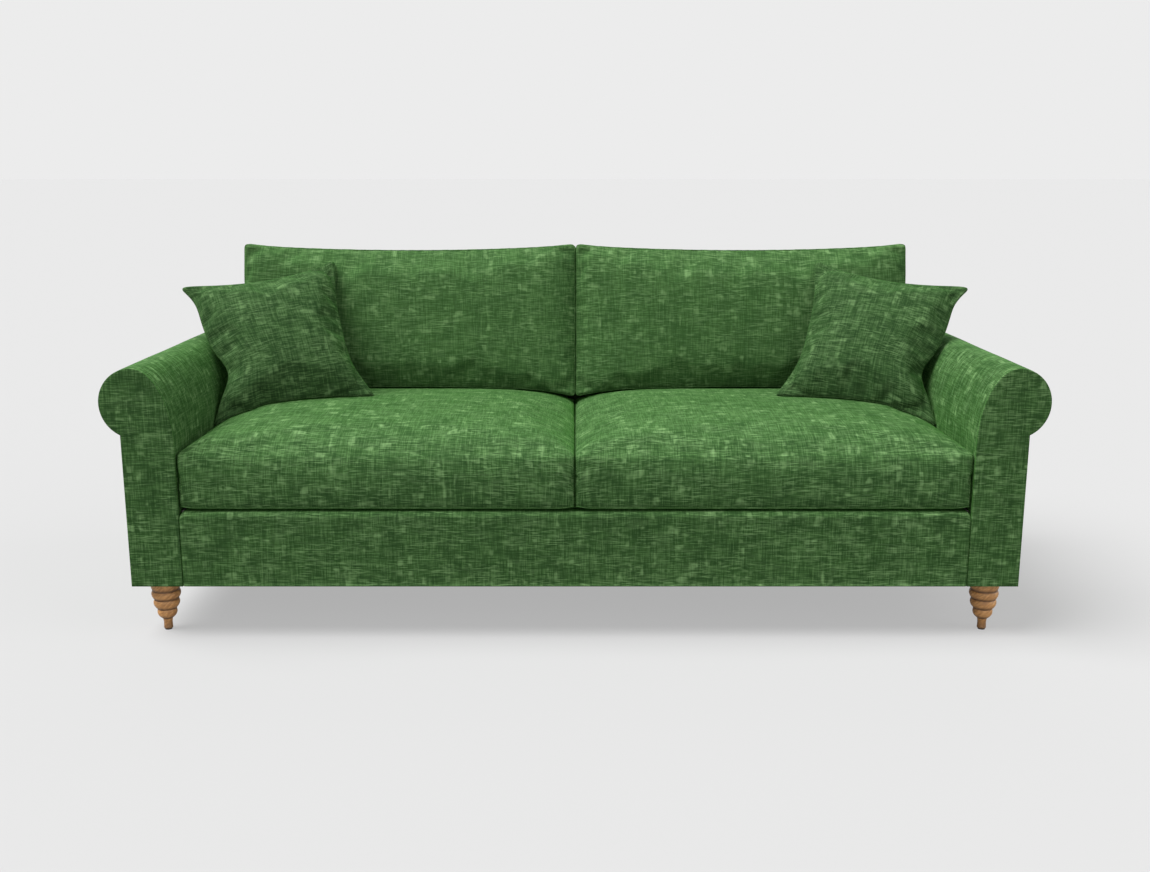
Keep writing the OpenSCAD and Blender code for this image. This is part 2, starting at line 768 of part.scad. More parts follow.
// The middle lies half a thickness in front of the inside back, along the slope from its foot.
function back_mid(up) = [
    back_mid_x,
    y_at(rake_foot) - (back_cushion_t / 2 + rest_gap) * cos(back_rake) + up * sin(back_rake),
    deck_z + (back_cushion_t / 2 + rest_gap) * sin(back_rake) + up * cos(back_rake)
];
// How far up the slope the middle is when the lower edge rests on the seat, found in three steps
function back_rest(up) = let (mid = back_mid(up))
    up + (rest_gap - min([
        for (p = back_cushion_points)
            if (p[2] < 0) mid[2] + p[2] - seat_top_at(mid[0] + p[0], mid[1] + p[1])
    ])) / cos(back_rake);
back_up = back_rest(back_rest(back_rest(back_cushion_h)));
module back_cushion_at(s) {
    side(s) translate(back_mid(back_up)) children();
}
back_wrap = 40;
module back_filling_block() {
    rotate([90 - back_rake, 0, 0]) cube([
        back_cushion_w - 2 * back_wrap, back_cushion_h - 2 * back_wrap, back_cushion_t - back_wrap
    ], center = true);
}
module back_cushion(s) {
    color(velvet) back_cushion_at(s) difference() {
        soft_form(back_cushion_points);
        back_filling_block();
    }
}
module back_filling(s) {
    color(foam) back_cushion_at(s) back_filling_block();
}

// Scatter cushions: each sits on a seat cushion in the corner of its arm, and leans back.
function scatter_turned(p) =
    turn_z(turn_x(turn_y(turn_x(p, 90), scatter_tip), -scatter_lean), -scatter_turn);
scatter_edge = 6;
scatter_dome = (scatter_t - scatter_edge) / 2;
scatter_form = [
    [scatter_w, scatter_w, scatter_edge], [scatter_dome, 0], [scatter_dome, 0],
    [scatter_pull, scatter_pull], [60, 0], [2.2, 0.62]
];
// The arm presses the outer side in, a third of the way down from its middle.
function scatter_pressed(p) =
    p[0] <= 0 ? p
        : [
            p[0] * (1 - 2 * scatter_waist / scatter_w * exp(-pow(6 * p[1] / scatter_w + 1, 2))),
            p[1],
            p[2]
        ];
scatter_points = [for (p = cushion_points(scatter_form)) scatter_turned(scatter_pressed(p))];
scatter_wrap = 97;
module scatter_filling_block() {
    w = scatter_w - 2 * scatter_wrap;
    rotate([0, 0, -scatter_turn]) rotate([-scatter_lean, 0, 0]) rotate([0, scatter_tip, 0])
        rotate([90, 0, 0]) cube([w, w, scatter_t / 4], center = true);
}
// X of the arm's inner surface at a height, and depth of the back cushion's front plane
function arm_face_x(z) =
    z < shoulder_z ? inner_x
        : z > arm_h ? sofa_w
        : roll_x - (roll_x - inner_x) * sqrt(1 - pow((z - shoulder_z) / shoulder_h, 2));
function back_face_y(z) =
    y_at(rake_foot) - (back_cushion_t + back_dome + rest_gap) / cos(back_rake)
        + (z - deck_z) * tan(back_rake);
// Height at which the cushion rests on the seat, with its middle at a place
function scatter_rest(x, y) =
    rest_gap + max([for (p = scatter_points) seat_top_at(x + p[0], y + p[1]) - p[2]]);
scatter_z0 = scatter_rest(inner_x - scatter_w / 3, y_at(rake_foot - back_cushion_t - scatter_w / 3));
scatter_x = min([for (p = scatter_points) arm_face_x(scatter_z0 + p[2]) - p[0]]) - lean_gap;
scatter_y = min([for (p = scatter_points) back_face_y(scatter_z0 + p[2]) - p[1]]) - lean_gap;
scatter_z = scatter_rest(scatter_x, scatter_y);
module scatter_cushion(s) {
    color(velvet) side(s) translate([scatter_x, scatter_y, scatter_z]) difference() {
        soft_form(scatter_points);
        scatter_filling_block();
    }
}
module scatter_filling(s) {
    color(foam) side(s) translate([scatter_x, scatter_y, scatter_z]) scatter_filling_block();
}

front_seat_rail();
back_seat_rail();
inner_side_rails();
outer_side_rails();
centre_stretcher();
leg_blocks();
arm_front_boards();
arm_back_boards();
arm_top_rails();
arm_roll_liners();
arm_inner_liners();
arm_outer_liners();
back_post(-1);  // left_back_post
back_post(1);  // right_back_post
back_middle_posts();
back_top_rail();
back_lower_rail();
outside_back_board();
seat_springs();
spring_clips();
back_webbing();
arm_roll_padding(-1);  // left_arm_roll_padding
arm_roll_padding(1);  // right_arm_roll_padding
inside_arm_padding(-1);  // left_inside_arm_padding
inside_arm_padding(1);  // right_inside_arm_padding
border_padding();
deck_pad();
back_padding();
arm_cover(-1);  // left_arm_cover
arm_cover(1);  // right_arm_cover
arm_facing(-1, 0);  // left_arm_front_facing
arm_facing(1, 0);  // right_arm_front_facing
arm_back_facings();
outside_arm_cover(-1);  // left_outside_arm_cover
outside_arm_cover(1);  // right_outside_arm_cover
front_border_cover();
deck_cloth();
inside_back_cover();
outside_back_cover();
dust_cover();
leg(-leg_x, leg_depths[0]);  // front_left_leg
leg(leg_x, leg_depths[0]);  // front_right_leg
leg(-leg_x, leg_depths[1]);  // back_left_leg
leg(leg_x, leg_depths[1]);  // back_right_leg
leg_bolts();
leg_tee_nuts();
foot_glides();
seat_cushion(-1);  // left_seat_cushion
seat_cushion(1);  // right_seat_cushion
seat_core(-1);  // left_seat_core
seat_core(1);  // right_seat_core
back_cushion(-1);  // left_back_cushion
back_cushion(1);  // right_back_cushion
back_filling(-1);  // left_back_filling
back_filling(1);  // right_back_filling
scatter_cushion(-1);  // left_scatter_cushion
scatter_cushion(1);  // right_scatter_cushion
scatter_filling(-1);  // left_scatter_filling
scatter_filling(1);  // right_scatter_filling
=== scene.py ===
# %% [markdown]
# # Scroll-arm sofa with loose cushions
#
# The frame, springs and rails come from the CAD and stay where they are. Everything soft is built
# here: fixed upholstery over the frame, and six loose cushions. The legs are turned again, finer.
# Lengths are in millimetres while a piece is built and are turned into metres when its mesh is
# made. The sofa's left half is a mirror image of its right half, so each paired piece is made
# once, on the right, and mirrored.

# %% Set-up
import json
import math

import bpy
import numpy as np
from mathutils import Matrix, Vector, noise
from mathutils.bvhtree import BVHTree


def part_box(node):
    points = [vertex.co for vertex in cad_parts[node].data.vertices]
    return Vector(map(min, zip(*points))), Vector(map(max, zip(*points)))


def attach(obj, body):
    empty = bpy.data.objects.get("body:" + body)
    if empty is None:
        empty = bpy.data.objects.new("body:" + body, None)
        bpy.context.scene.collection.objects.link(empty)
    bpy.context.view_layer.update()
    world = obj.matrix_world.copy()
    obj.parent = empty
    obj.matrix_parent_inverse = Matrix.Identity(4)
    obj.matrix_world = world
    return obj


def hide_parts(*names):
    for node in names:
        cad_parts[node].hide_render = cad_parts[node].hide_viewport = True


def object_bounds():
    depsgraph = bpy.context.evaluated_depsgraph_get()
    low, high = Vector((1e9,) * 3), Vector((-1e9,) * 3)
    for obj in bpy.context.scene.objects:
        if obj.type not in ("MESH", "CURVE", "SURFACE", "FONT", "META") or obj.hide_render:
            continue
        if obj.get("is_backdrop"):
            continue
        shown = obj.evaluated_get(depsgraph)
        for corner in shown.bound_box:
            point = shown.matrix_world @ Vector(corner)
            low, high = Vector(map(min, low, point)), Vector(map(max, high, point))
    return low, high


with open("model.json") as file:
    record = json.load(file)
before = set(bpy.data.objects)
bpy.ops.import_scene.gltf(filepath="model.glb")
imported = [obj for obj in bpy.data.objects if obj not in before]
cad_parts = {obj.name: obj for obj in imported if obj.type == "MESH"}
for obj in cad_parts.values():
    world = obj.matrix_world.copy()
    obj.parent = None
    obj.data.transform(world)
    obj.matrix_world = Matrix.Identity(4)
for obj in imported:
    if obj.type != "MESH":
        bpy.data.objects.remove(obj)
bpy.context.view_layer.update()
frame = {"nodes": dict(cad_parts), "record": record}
scene = bpy.context.scene

# %% [markdown]
# ## Sizes shared with the CAD
#
# The upholstery has to lie on the frame to a millimetre, so its sizes are the CAD's own. The
# boxes of a few CAD nodes show that both agree; a change to the CAD is noticed here first.

# %% Sizes
INNER_X, OUTER_X = 980.0, 1108.0  # the right arm's inner face and its outside panel
ROLL_X, ROLL_Z, ROLL_R = 1072.0, 603.0, 83.0  # the middle and the radius of its roll
SHOULDER_Z, SHOULDER_H = 496.0, 190.0  # where the inner face starts to bend, and its rise from there
LEG_H, DECK_Z, BACK_H = 135.0, 327.0, 805.0  # heights of the base's underside, the deck and the back
RAIL_Z, PAD_Z = 305.8, 311.0  # heights of the rails' top and of the deck pad's underside
FRONT, BACK, FACING, COVER = -480.0, 480.0, 10.0, 2.0
RAKE, FOOT_Y, CAP_R = math.radians(9), 358.0, 11.0  # the back's slope, its foot, its rounded top edge
LIP_Y = FRONT + 110  # the border's cloth ends here on the deck
DROOP = 7.0  # the padded roll hangs a little, so its underside is lower than a true circle's

facing_low, facing_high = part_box("right_arm_front_facing")
border_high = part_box("front_border_cover")[1]
back_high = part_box("inside_back_cover")[1]
for what, here, cad in [
    ("inner face", INNER_X, facing_low.x),
    ("roll", ROLL_X + ROLL_R, facing_high.x),
    ("front", FRONT, facing_low.y),
    ("leg height", LEG_H, facing_low.z),
    ("arm height", ROLL_Z + ROLL_R, facing_high.z),
    ("deck", DECK_Z, border_high.z),
    ("back height", BACK_H, back_high.z),
]:
    print(f"{what}: {here:g} here, {cad * 1000:.1f} in the CAD")
    assert abs(here - cad * 1000) < 0.5, what

# %% [markdown]
# ## Turning points into pieces
#
# A piece is a grid of points, because an upholsterer's panel is a sheet with a direction: the
# weft runs across it and the warp along it. Each face corner therefore stores where it lies in
# the cloth. The pattern of the velvet follows that and not the shape, as a woven pattern does,
# and a panel that ends at a seam starts its pattern anew.


# %% Pieces and their weave
def plain_mesh(name, points, faces):
    """A mesh of points in metres."""
    mesh = bpy.data.meshes.new(name)
    mesh.from_pydata(points.tolist(), [], [list(map(int, f)) for f in faces])
    mesh.update()
    return mesh


def piece(name, points, faces, body, material, replaces=(), weave=None):
    """A finished piece from points in millimetres, riding on its body and wearing its material."""
    mesh = plain_mesh(name, np.asarray(points, float) / 1000, faces)
    mesh.polygons.foreach_set("use_smooth", [True] * len(mesh.polygons))
    mesh.materials.append(material)
    ob = bpy.data.objects.new(name, mesh)
    scene.collection.objects.link(ob)
    if weave is not None:
        lay_weave(ob, weave)
    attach(ob, body)
    if replaces:
        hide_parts(*replaces)
    print(f"{name}: {len(mesh.vertices)} points, {len(mesh.polygons)} faces, on {body}")
    return ob


def lay_weave(ob, weave):
    """Stores weft, warp and layer; weave gives them (mm) from the corners' points and their numbers."""
    mesh = ob.data
    co = np.empty(len(mesh.vertices) * 3)
    mesh.vertices.foreach_get("co", co)
    corner = np.empty(len(mesh.loops), int)
    mesh.loops.foreach_get("vertex_index", corner)
    at = weave(co.reshape(-1, 3)[corner] * 1000, corner) / 1000
    layer = mesh.attributes.new("weave", "FLOAT_VECTOR", "CORNER")
    layer.data.foreach_set("vector", at.astype(np.float32).ravel())


def by_place(weft, warp, layer):
    """The weave from where a point is: how much x, y and z count in its weft and in its warp."""
    ways = np.array([weft, warp, (0, 0, 0)]).T
    return lambda co, corner: co @ ways + [0, 0, layer]


def both_faces(weft, warp, layer):
    """The weave of a thick sheet, from the distances on its grid: the same outside and inside."""
    spots = np.stack([weft, warp, np.full_like(weft, layer)], -1).reshape(-1, 3)
    spots = np.concatenate([spots, spots])
    return lambda co, corner: spots[corner]


SIDES = ((-1, "left"), (1, "right"))


def on_side(side, points, faces):
    """A piece made on the right, or its mirror image on the left."""
    if side > 0:
        return points, faces
    return np.asarray(points) * [-1, 1, 1], [f[::-1] for f in faces]


print("a point on the right and its mirror image:", on_side(-1, [[INNER_X, 0, DECK_Z]], [])[0][0])


# %% Sheets of cloth
def cloth_grid(sheet):
    """Quads of an (n, m) grid of point numbers."""
    a, b, c, d = sheet[:-1, :-1], sheet[1:, :-1], sheet[1:, 1:], sheet[:-1, 1:]
    return np.stack([a, b, c, d], -1).reshape(-1, 4)


def thick_sheet(outer, inner):
    """A closed solid between two (n, m, 3) grids, the outer one facing out."""
    n, m = outer.shape[:2]
    top = np.arange(n * m).reshape(n, m)
    low = top + n * m
    rim = [(0, j) for j in range(m)] + [(i, m - 1) for i in range(1, n)]
    rim += [(n - 1, j) for j in range(m - 2, -1, -1)] + [(i, 0) for i in range(n - 2, 0, -1)]
    faces = cloth_grid(top).tolist() + cloth_grid(low)[:, ::-1].tolist()
    for k in range(len(rim)):
        p, q = rim[k], rim[(k + 1) % len(rim)]
        faces.append([top[p], top[q], low[q], low[p]])
    return np.concatenate([outer.reshape(-1, 3), inner.reshape(-1, 3)]), faces


def grid_normals(grid):
    """Unit normals of an (n, m, 3) grid, from its two directions."""
    n = np.cross(np.gradient(grid, axis=0), np.gradient(grid, axis=1))
    return n / np.maximum(np.linalg.norm(n, axis=2, keepdims=True), 1e-9)


print("faces of a 3 by 4 sheet of points:", len(cloth_grid(np.arange(12).reshape(3, 4))))


# %% Uneven cloth and seam cords
def wander(points, scale, seed=0.0):
    """Smooth noise from -1 to 1 at points (mm), with features about scale mm apart."""
    flat = np.asarray(points, float).reshape(-1, 3) / scale
    found = [noise.noise(Vector((p[0] + seed * 7.3, p[1] + seed * 3.1, p[2] - seed * 5.7))) for p in flat]
    return np.array(found).reshape(np.asarray(points).shape[:-1])


def tube(path, normals, radius, sides=6, closed=True):
    """A round cord along a path, for a seam's ridge."""
    path = np.asarray(path, float)
    ahead = np.roll(path, -1, 0) - np.roll(path, 1, 0)
    if not closed:
        ahead[0], ahead[-1] = path[1] - path[0], path[-1] - path[-2]
    ahead /= np.linalg.norm(ahead, axis=1, keepdims=True)
    side = np.cross(ahead, normals)
    side /= np.maximum(np.linalg.norm(side, axis=1, keepdims=True), 1e-9)
    up = np.cross(side, ahead)
    turn = np.arange(sides) * 2 * math.pi / sides
    ring = path[:, None] + radius * (
        side[:, None] * np.cos(turn)[None, :, None] + up[:, None] * np.sin(turn)[None, :, None]
    )
    ids = np.arange(len(path) * sides).reshape(len(path), sides)
    ids = np.concatenate([ids, ids[:, :1]], 1)
    if closed:
        ids = np.concatenate([ids, ids[:1]])
    faces = cloth_grid(ids)[:, ::-1].tolist()
    if not closed:
        faces += [ids[0, :-1].tolist(), ids[-1, :-1][::-1].tolist()]
    return ring.reshape(-1, 3), faces


print("unevenness at three points 60 mm apart:", wander([[0, 9, 9], [60, 9, 9], [120, 9, 9]], 170).round(2))

# %% [markdown]
# ## Slub velvet
#
# The cover is a short-piled velvet on a slub ground: thick places in the weft show as light
# dashes one or two centimetres long, in loose clusters, over a fine criss-cross of threads, and
# the pile is darker in patches of a few centimetres where it lies the other way. It could be a
# picture of cloth, but a woven pattern built from stretched noise never repeats and stays sharp
# close up. One node group makes the colour and the height from the stored weave coordinates, and
# every velvet material uses it.


# %% Node helpers
def linear(r, g, b):
    """An sRGB colour from 0 to 255, as Blender wants it."""
    return [((v / 255 + 0.055) / 1.055) ** 2.4 if v > 10 else v / 255 / 12.92 for v in (r, g, b)] + [1]


class Maker:
    """Makes nodes in a tree and wires them as they are made."""

    def __init__(self, tree):
        self.tree = tree

    def node(self, kind, inputs=(), **settings):
        n = self.tree.nodes.new(kind)
        for key, value in settings.items():
            setattr(n, key, value)
        for key, value in dict(inputs).items():
            if isinstance(value, bpy.types.NodeSocket):
                self.tree.links.new(value, n.inputs[key])
            else:
                n.inputs[key].default_value = value
        return n

    def stretched(self, vector, scale, seed=0.0, detail=2.0, rough=0.5):
        """Noise whose cells are 1/scale metres along each direction of the cloth."""
        start = (seed, seed * 1.7, seed * 0.6)
        moved = self.node("ShaderNodeVectorMath", {0: vector, 1: scale, 2: start}, operation="MULTIPLY_ADD")
        wanted = {"Vector": moved.outputs[0], "Scale": 1.0, "Detail": detail, "Roughness": rough}
        return self.node("ShaderNodeTexNoise", wanted).outputs["Fac"]

    def band(self, value, low, high, to_low=0.0, to_high=1.0):
        """value from low to high, eased, becomes to_low to to_high."""
        wanted = {"Value": value, "From Min": low, "From Max": high, "To Min": to_low, "To Max": to_high}
        return self.node("ShaderNodeMapRange", wanted, interpolation_type="SMOOTHSTEP").outputs["Result"]

    def math(self, operation, a, b=0.0):
        return self.node("ShaderNodeMath", {0: a, 1: b}, operation=operation).outputs[0]

    def mix(self, share, a, b, blend="MIX"):
        values = {0: share, 6: a, 7: b}
        return self.node("ShaderNodeMix", values, data_type="RGBA", blend_type=blend).outputs[2]


def group(name, inputs, outputs):
    """A new shader node group with its sockets, each (name, kind, default)."""
    tree = bpy.data.node_groups.new(name, "ShaderNodeTree")
    for label, kind, default in inputs:
        socket = tree.interface.new_socket(label, in_out="INPUT", socket_type=kind)
        if default is not None:
            socket.default_value = default
    for label, kind in outputs:
        tree.interface.new_socket(label, in_out="OUTPUT", socket_type=kind)
    ends = tree.nodes.new("NodeGroupInput").outputs, tree.nodes.new("NodeGroupOutput").inputs
    return tree, Maker(tree), *ends


COLOUR, FLOAT, VECTOR = "NodeSocketColor", "NodeSocketFloat", "NodeSocketVector"
print("mid grey in linear light:", round(linear(128, 128, 128)[0], 3))

# %% The velvet's node group
# Cells to a metre along the weft, along the warp and through the cloth; few cells make a long mark.
WEFT_THREADS, WARP_THREADS = (26, 380, 1), (360, 22, 1)
SLUB_DASHES, SLUB_CLUSTERS = (36, 330, 1), (12, 24, 1)
BLOCKS_ACROSS, BLOCKS_UPRIGHT, STREAKS = (21, 60, 1), (50, 18, 1), (16, 62, 1)
LAID_PILE = (13, 17, 1)

velvet_group, m, given, out = group(
    "slub_velvet",
    [("Weave", VECTOR, None), ("Ground", COLOUR, None), ("Slub", COLOUR, None), ("Shade", COLOUR, None)],
    [("Color", COLOUR), ("Height", FLOAT), ("Roughness", FLOAT)],
)
at = given["Weave"]
weft = m.stretched(at, WEFT_THREADS, 1.3, 2.0, 0.6)
warp = m.stretched(at, WARP_THREADS, 4.1, 2.0, 0.6)
threads = m.math("ADD", m.math("MULTIPLY", weft, 0.55), m.math("MULTIPLY", warp, 0.45))
clusters = m.band(m.stretched(at, SLUB_CLUSTERS, 7.7, 1.0), 0.36, 0.60, 0.15, 1.0)
dashes = m.band(m.stretched(at, SLUB_DASHES, 2.9, 1.0), 0.52, 0.70)
slubs = m.math("MULTIPLY", dashes, clusters)
across = m.band(m.stretched(at, BLOCKS_ACROSS, 9.4, 1.0), 0.50, 0.67)
upright = m.band(m.stretched(at, BLOCKS_UPRIGHT, 5.5, 1.0), 0.49, 0.66)
blocks = m.math("MULTIPLY", across, upright)
streaks = m.band(m.stretched(at, STREAKS, 6.2, 1.0), 0.54, 0.70)
flecks = m.math("MAXIMUM", blocks, m.math("MULTIPLY", streaks, 0.26))
light = m.math("MULTIPLY", flecks, m.band(threads, 0.36, 0.58, 0.45, 1.0))
dark = m.band(m.stretched(at, LAID_PILE, 3.3, 3.0, 0.6), 0.40, 0.62)
ground = m.mix(m.math("MULTIPLY", dark, 0.34), given["Ground"], given["Shade"])
ground = m.mix(m.band(threads, 0.38, 0.56, 0.66, 0.0), ground, given["Shade"])
ground = m.mix(m.band(threads, 0.50, 0.64, 0.0, 0.26), ground, given["Slub"])
colour = m.mix(m.math("MULTIPLY", light, 0.50), ground, given["Slub"])
colour = m.mix(m.math("MULTIPLY", slubs, 0.34), colour, given["Slub"])
m.tree.links.new(colour, out["Color"])
height = m.math("ADD", m.math("MULTIPLY", threads, 0.6), m.math("MULTIPLY", slubs, 0.5))
m.tree.links.new(height, out["Height"])
m.tree.links.new(m.band(slubs, 0.0, 1.0, 0.88, 0.72), out["Roughness"])
print("nodes in the velvet group:", len(velvet_group.nodes))


# %% Velvet materials
SHEEN, SHEEN_ROUGHNESS, SHEEN_TINT = 0.14, 0.45, linear(96, 200, 60)  # light that grazes the pile
SPECULAR = 0.03  # a pile hardly shines
THREAD_RELIEF = 0.0008  # metres


def material(name):
    """A new material, a maker for its nodes, and its shader."""
    mat = bpy.data.materials.new(name)
    mat.use_nodes = True
    tree = mat.node_tree
    return mat, Maker(tree), tree.nodes["Principled BSDF"]


def velvet(name, ground, slub, shade):
    """The shared weave in three greens: the ground, the light slubs and the shade between threads."""
    mat, m, skin = material(name)
    weave = m.node("ShaderNodeAttribute", attribute_name="weave")
    cloth = m.node("ShaderNodeGroup", node_tree=velvet_group)
    for key, value in (("Ground", ground), ("Slub", slub), ("Shade", shade)):
        cloth.inputs[key].default_value = linear(*value)
    m.tree.links.new(weave.outputs["Vector"], cloth.inputs["Weave"])
    relief = {"Height": cloth.outputs["Height"], "Strength": 0.35, "Distance": THREAD_RELIEF}
    bump = m.node("ShaderNodeBump", relief)
    m.tree.links.new(cloth.outputs["Color"], skin.inputs["Base Color"])
    m.tree.links.new(cloth.outputs["Roughness"], skin.inputs["Roughness"])
    m.tree.links.new(bump.outputs["Normal"], skin.inputs["Normal"])
    skin.inputs["Sheen Weight"].default_value = SHEEN
    skin.inputs["Sheen Roughness"].default_value = SHEEN_ROUGHNESS
    skin.inputs["Sheen Tint"].default_value = SHEEN_TINT
    skin.inputs["Specular IOR Level"].default_value = SPECULAR
    return mat


GROUND, SLUB, SHADE = (54, 84, 44), (120, 154, 102), (29, 51, 26)
frame_velvet = velvet("frame_velvet", GROUND, SLUB, SHADE)
seat_velvet = velvet("seat_velvet", GROUND, SLUB, SHADE)
back_velvet = velvet("back_velvet", (60, 92, 49), (118, 152, 100), (39, 66, 34))
# The scatter cushions wear a darker copy of the velvet: painted shade, since leaning back they face up into the
# overhead light.
scatter_velvet = velvet("scatter_velvet", (45, 70, 37), (104, 134, 88), (23, 42, 21))
# The seam cords wear a paler copy of the velvet: a painted highlight along their ridges.
seam_highlight_velvet = velvet("seam_highlight_velvet", (64, 98, 52), (122, 158, 104), (38, 65, 33))
print("velvet ground", [round(v, 3) for v in linear(*GROUND)[:3]])

# %% [markdown]
# ## The arm's section
#
# Seen from the front, the arm is a scroll: its inner face rises straight from the seat, bends
# over a wide shoulder to the top of a roll, and the roll's outer half comes back under to the
# outside panel. A spline could be fitted to it, but a quarter ellipse and a part of a circle are
# what a frame maker draws, and they let every layer be offset from the same line.


# %% Arm line
def along_line(line):
    """The distance run at each point of a line."""
    return np.concatenate([[0], np.cumsum(np.linalg.norm(np.diff(line, axis=0), axis=1))])


def even(line, count):
    """count points spaced evenly along a line."""
    line = np.asarray(line, float)
    run = along_line(line)
    at = np.linspace(0, run[-1], count)
    return np.stack([np.interp(at, run, line[:, k]) for k in range(line.shape[1])], 1)


def arm_line(inset, end_x, start_z=None):
    """(x, z) from the arm's inner face over the roll to where it comes back to x = end_x."""
    a = np.linspace(0, math.pi / 2, 60)
    reach, rise = ROLL_X - INNER_X - inset, SHOULDER_H - inset
    shoulder = np.stack([ROLL_X - reach * np.cos(a), SHOULDER_Z + rise * np.sin(a)], 1)
    r = ROLL_R - inset
    a = np.linspace(0, math.pi - math.asin((end_x - ROLL_X) / r), 110)[1:]
    roll = np.stack([ROLL_X + r * np.sin(a), ROLL_Z + r * np.cos(a) - DROOP * (1 - np.cos(a)) / 2], 1)
    start = [] if start_z is None else [[[INNER_X + inset, start_z]]]
    return np.concatenate([*start, shoulder, roll])


def arm_face(z):
    """How far out a cushion may reach beside the arm at height z; above the roll it is free."""
    rise = np.clip((z - SHOULDER_Z) / SHOULDER_H, 0, 1)
    face = ROLL_X - (ROLL_X - INNER_X) * np.sqrt(1 - rise**2) - 2.2
    return np.where(z > SHOULDER_Z + SHOULDER_H - 20, OUTER_X, face)


over_arm = arm_line(0, OUTER_X - COVER, RAIL_Z)
print("cloth over the arm, from the rail round the roll:", round(along_line(over_arm)[-1]), "mm")

# %% [markdown]
# ## Arm covers
#
# The cover runs from under the seat cushion, up the inner face and over the roll, and is sewn
# round its front edge to the facing. Padding stands a little higher than the seam, so the cover
# dips to it, and it puckers slightly where the curve is eased in. Stretching a grid along the
# arm's line and lowering its ends gives that without a simulation, which would blur the seam.


# %% Arm covers
def spaced_ends(low, high, fine, coarse, reach):
    """Positions from low to high, fine steps near both ends and coarse ones between."""
    a = np.arange(0, reach, fine)
    middle = np.linspace(reach, high - low - reach, max(2, int((high - low - 2 * reach) / coarse) + 1))
    return low + np.concatenate([a, middle, (high - low) - a[::-1]])


def arm_cover(side, word):
    line = even(over_arm, 120)
    depth = spaced_ends(FRONT + FACING, BACK - FACING, 2.2, 13, 22)
    run = along_line(line)
    grid = np.zeros((len(line), len(depth), 3))
    grid[..., 0], grid[..., 2] = line[:, :1], line[:, 1:]
    grid[..., 1] = depth[None]
    along, over = np.meshgrid(run, depth, indexing="ij")
    up = grid_normals(grid)
    from_end = np.minimum(over - depth[0], depth[-1] - over)
    dip = -1.1 * (1 - np.clip(from_end / 9, 0, 1)) ** 2
    flat = np.stack([along, np.zeros_like(along), over * 0], -1)
    pucker = (0.1 + 0.6 * wander(flat, 17, 2.0)) * np.exp(-from_end / 26) * np.clip(from_end / 6, 0, 1)
    laid_out = np.stack([along, over, along * 0], -1)
    soft = 0.3 + 0.9 * wander(laid_out, 170, 5.0) * np.clip(from_end / 60, 0, 1)
    free = np.clip((along - 120) / 120, 0, 1)[..., None]  # beside the seat the cover stays flat
    outer = grid + up * ((dip + pucker)[..., None] + np.minimum(soft, 0.9)[..., None] * free)
    inner = outer - up * 1.8
    points, faces = on_side(side, *thick_sheet(outer, inner))
    ob = piece(
        f"{word}_arm_cover_cloth", points, faces, "frame", frame_velvet,
        [f"{word}_arm_cover"], both_faces(along, over, 3000 * side),
    )


for side, word in SIDES:
    arm_cover(side, word)

# %% [markdown]
# ## Facings
#
# A facing is a thin board padded with felt, with the fabric pulled round its edge, fixed over
# the raw end of the arm. From the front it shows a soft rounded edge and then a flat middle. A
# plain extrusion would have a knife edge that no cloth has, so the outline is stepped inwards
# over a small quarter round first. The same builder makes the closing panels of the back's ends.


# %% Outlines and rounded panels
def offset(outline, distance):
    """A closed outline moved inwards, each corner along its mitre."""
    p = np.asarray(outline, float)
    e = np.roll(p, -1, 0) - p
    e /= np.linalg.norm(e, axis=1, keepdims=True)
    left = np.stack([-e[:, 1], e[:, 0]], 1)
    mitre = left + np.roll(left, 1, 0)
    mitre /= np.maximum((mitre * left).sum(1, keepdims=True), 0.35)
    return p + mitre * distance


def dense(outline, step):
    """A closed outline with its long edges divided."""
    found = []
    for a, b in zip(outline, np.roll(outline, -1, 0)):
        n = max(1, int(np.linalg.norm(b - a) / step))
        found += [a + (b - a) * k / n for k in range(n)]
    return np.array(found)


def rounded_panel(outline, thick, edge, place):
    """Points and faces of a panel: outline is anticlockwise seen from outside, and place turns
    (across, up, out) into the frame, out being 0 at the back and thick at the front."""
    bottom = thick - edge
    steps = [(0.0, 0.0), (0.0, bottom)]
    for a in np.radians([22, 45, 68, 90]):
        steps.append((edge * (1 - math.cos(a)), bottom + (edge - 0.5) * math.sin(a)))
    steps += [(edge + 5, thick - 0.15), (edge + 12, thick)]
    rings = [np.concatenate([offset(outline, i), np.full((len(outline), 1), o)], 1) for i, o in steps]
    n = len(outline)
    ids = np.arange(n * len(rings)).reshape(len(rings), n)
    ids = np.concatenate([ids, ids[:, :1]], 1)
    faces = cloth_grid(ids)[:, ::-1].tolist()
    faces += [ids[-1, :-1].tolist(), ids[0, :-1][::-1].tolist()]
    return place(np.concatenate(rings)), faces


def anticlockwise(outline):
    """The outline so that its area is on its left."""
    x, y = outline[:, 0], outline[:, 1]
    area = (x * np.roll(y, -1) - y * np.roll(x, -1)).sum()
    return outline if area > 0 else outline[::-1]


# %% Facings
below = [[INNER_X, LEG_H], [OUTER_X, LEG_H]]
arm_outline = anticlockwise(dense(np.concatenate([arm_line(0, OUTER_X)[::-1], below]), 14))
print("points round the arm:", len(arm_outline))


def facing(name, side, front, replaces):
    def place(p):
        y = FRONT + FACING - p[:, 2] if front else BACK - FACING + p[:, 2]
        return np.stack([p[:, 0], y, p[:, 1]], 1)

    points, faces = rounded_panel(arm_outline, FACING, 2.2, place)
    if not front:
        faces = [f[::-1] for f in faces]
    points, faces = on_side(side, points, faces)
    ob = piece(
        name, points, faces, "frame", frame_velvet, replaces,
        by_place((1, 0, 0), (0, 0, 1), 40000 + 9000 * front),
    )


for side, word in SIDES:
    facing(f"{word}_arm_facing_panel", side, True, [f"{word}_arm_front_facing"])
    facing(f"{word}_arm_back_facing_panel", side, False, ["arm_back_facings"])
